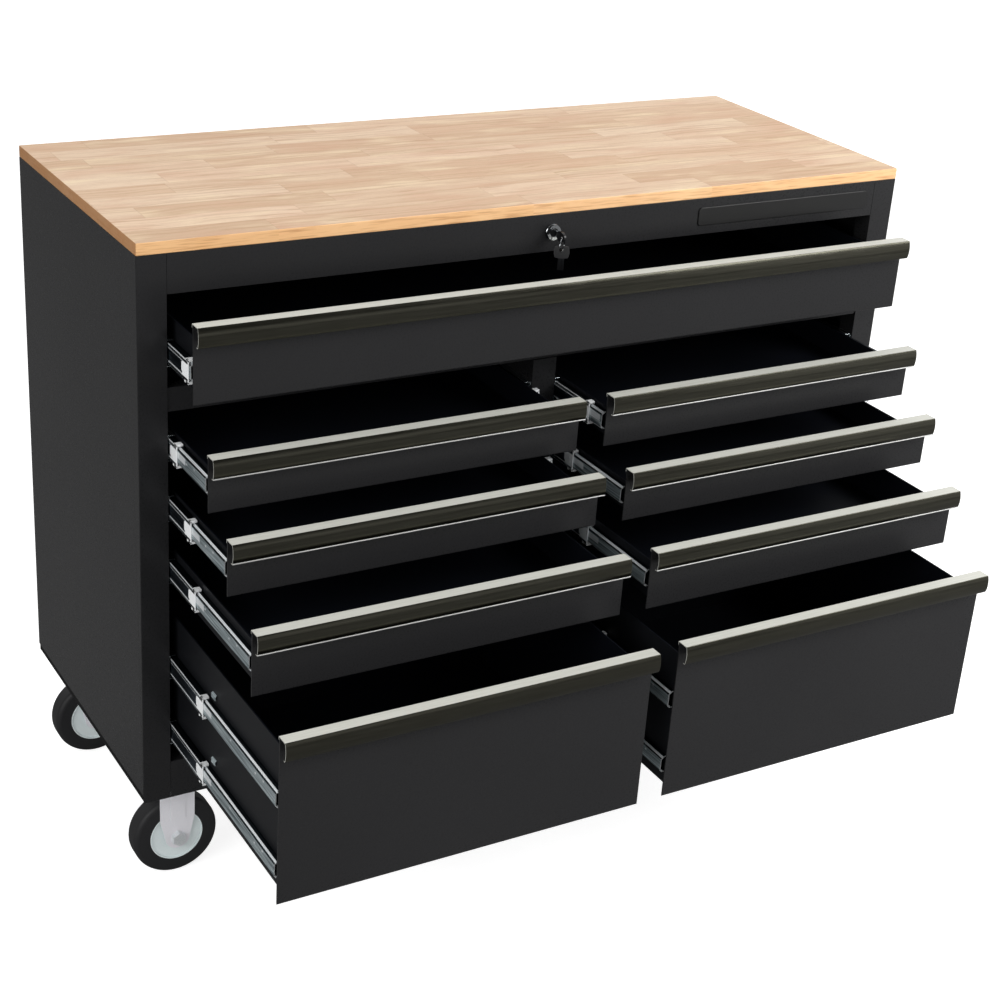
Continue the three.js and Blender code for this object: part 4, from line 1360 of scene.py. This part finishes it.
floor = bmesh.new()
bmesh.ops.create_grid(floor, x_segments=1, y_segments=1, size=floor_size / 2)
floor_mesh = bpy.data.meshes.new("floor")
floor.to_mesh(floor_mesh)
floor.free()
floor_piece = bpy.data.objects.new("floor", floor_mesh)
bpy.context.scene.collection.objects.link(floor_piece)

paper, tree, shader = new_material("studio_floor", Roughness=0.9, Metallic=0.0)
path = node(tree, "ShaderNodeLightPath")
connect(tree, shader, {
    "Emission Color": linear("#ffffff"),
    "Emission Strength": node(tree, "ShaderNodeMath", {
        0: path.outputs["Is Camera Ray"], 1: camera_lift}, operation="MULTIPLY"),
    "Base Color": node(tree, "ShaderNodeMix", {
        0: path.outputs["Is Glossy Ray"], 6: linear("#cfcfcf"), 7: linear("#8a8a8a")},
        data_type="RGBA")})
floor_mesh.materials.append(paper)
print("floor laid")

# %% [markdown]
# ## The room
# The room is white. Its light fills the shadows, and cameras see it as plain white. Mirrors do
# so too, apart from the darker side of the room behind the camera, which gives metal and paint
# something to reflect.

# %% Build the room
room_light = 0.55
dark_share = 0.12
bright_side = (0.5, 0.75, 0.43)
dark_until, bright_from = 0.3, 0.8

world = bpy.data.worlds.new("studio")
bpy.context.scene.world = world
world.use_nodes = True
sky = world.node_tree
path = node(sky, "ShaderNodeLightPath")
seen = node(sky, "ShaderNodeMath", {
    0: path.outputs["Is Camera Ray"], 1: path.outputs["Is Transmission Ray"]}, operation="MAXIMUM")
towards = node(sky, "ShaderNodeVectorMath", {
    0: node(sky, "ShaderNodeTexCoord").outputs["Generated"], 1: bright_side},
    operation="DOT_PRODUCT")
brightness = node(sky, "ShaderNodeMapRange", {
    "Value": towards, "From Min": dark_until, "From Max": bright_from, "To Min": dark_share})
mirror = node(sky, "ShaderNodeMath", {0: path.outputs["Is Glossy Ray"], 1: brightness},
              operation="MULTIPLY")
fill = node(sky, "ShaderNodeMath", {0: path.outputs["Is Diffuse Ray"], 1: room_light},
            operation="MULTIPLY")
white = node(sky, "ShaderNodeMath", {0: seen, 1: mirror}, operation="MAXIMUM")
connect(sky, sky.nodes["Background"], {
    "Color": linear("#ffffff"),
    "Strength": node(sky, "ShaderNodeMath", {0: white, 1: fill}, operation="MAXIMUM")})
print("room light", room_light)

# %% [markdown]
# ## The lamps
# The key lamp stands at the front right and warms the fronts from that side, a weaker one fills
# from the left, and a large one overhead lights the worktop. Two dim cards stand low in front:
# the handles' bowed walls mirror them. A last lamp washes the right-hand fronts, and shiny
# surfaces don't mirror it.

# %% Light the bench
bench_middle = Vector((0.0, front_plane, 0.6))


def softbox(name, place, width, height, watts):
    """A large soft lamp that faces the bench and isn't seen by the camera."""
    data = bpy.data.lights.new(name, "AREA")
    data.shape = "RECTANGLE"
    data.size, data.size_y = width, height
    data.energy = watts
    lamp = bpy.data.objects.new(name, data)
    bpy.context.scene.collection.objects.link(lamp)
    lamp.location = place
    lamp.rotation_mode = "QUATERNION"
    lamp.rotation_quaternion = (bench_middle - Vector(place)).to_track_quat("-Z", "Y")
    lamp.visible_camera = False
    return lamp


softbox("overhead", (-0.3, 0.5, 2.9), 2.6, 1.8, 13)
softbox("left", (-2.6, -1.2, 1.6), 1.6, 1.6, 29)
softbox("front_right", (1.9, -1.7, 2.1), 1.4, 1.4, 62)
softbox("right_card", (2.3, -1.9, 0.75), 1.8, 1.2, 5)
softbox("front_card", (0.9, -3.0, 0.6), 1.4, 0.7, 2)
softbox("right_wash", (2.2, -1.6, 0.8), 1.0, 1.0, 20).visible_glossy = False
bpy.context.scene.view_settings.view_transform = "Standard"
print("bench lit, lamps:", len(bpy.data.lights))
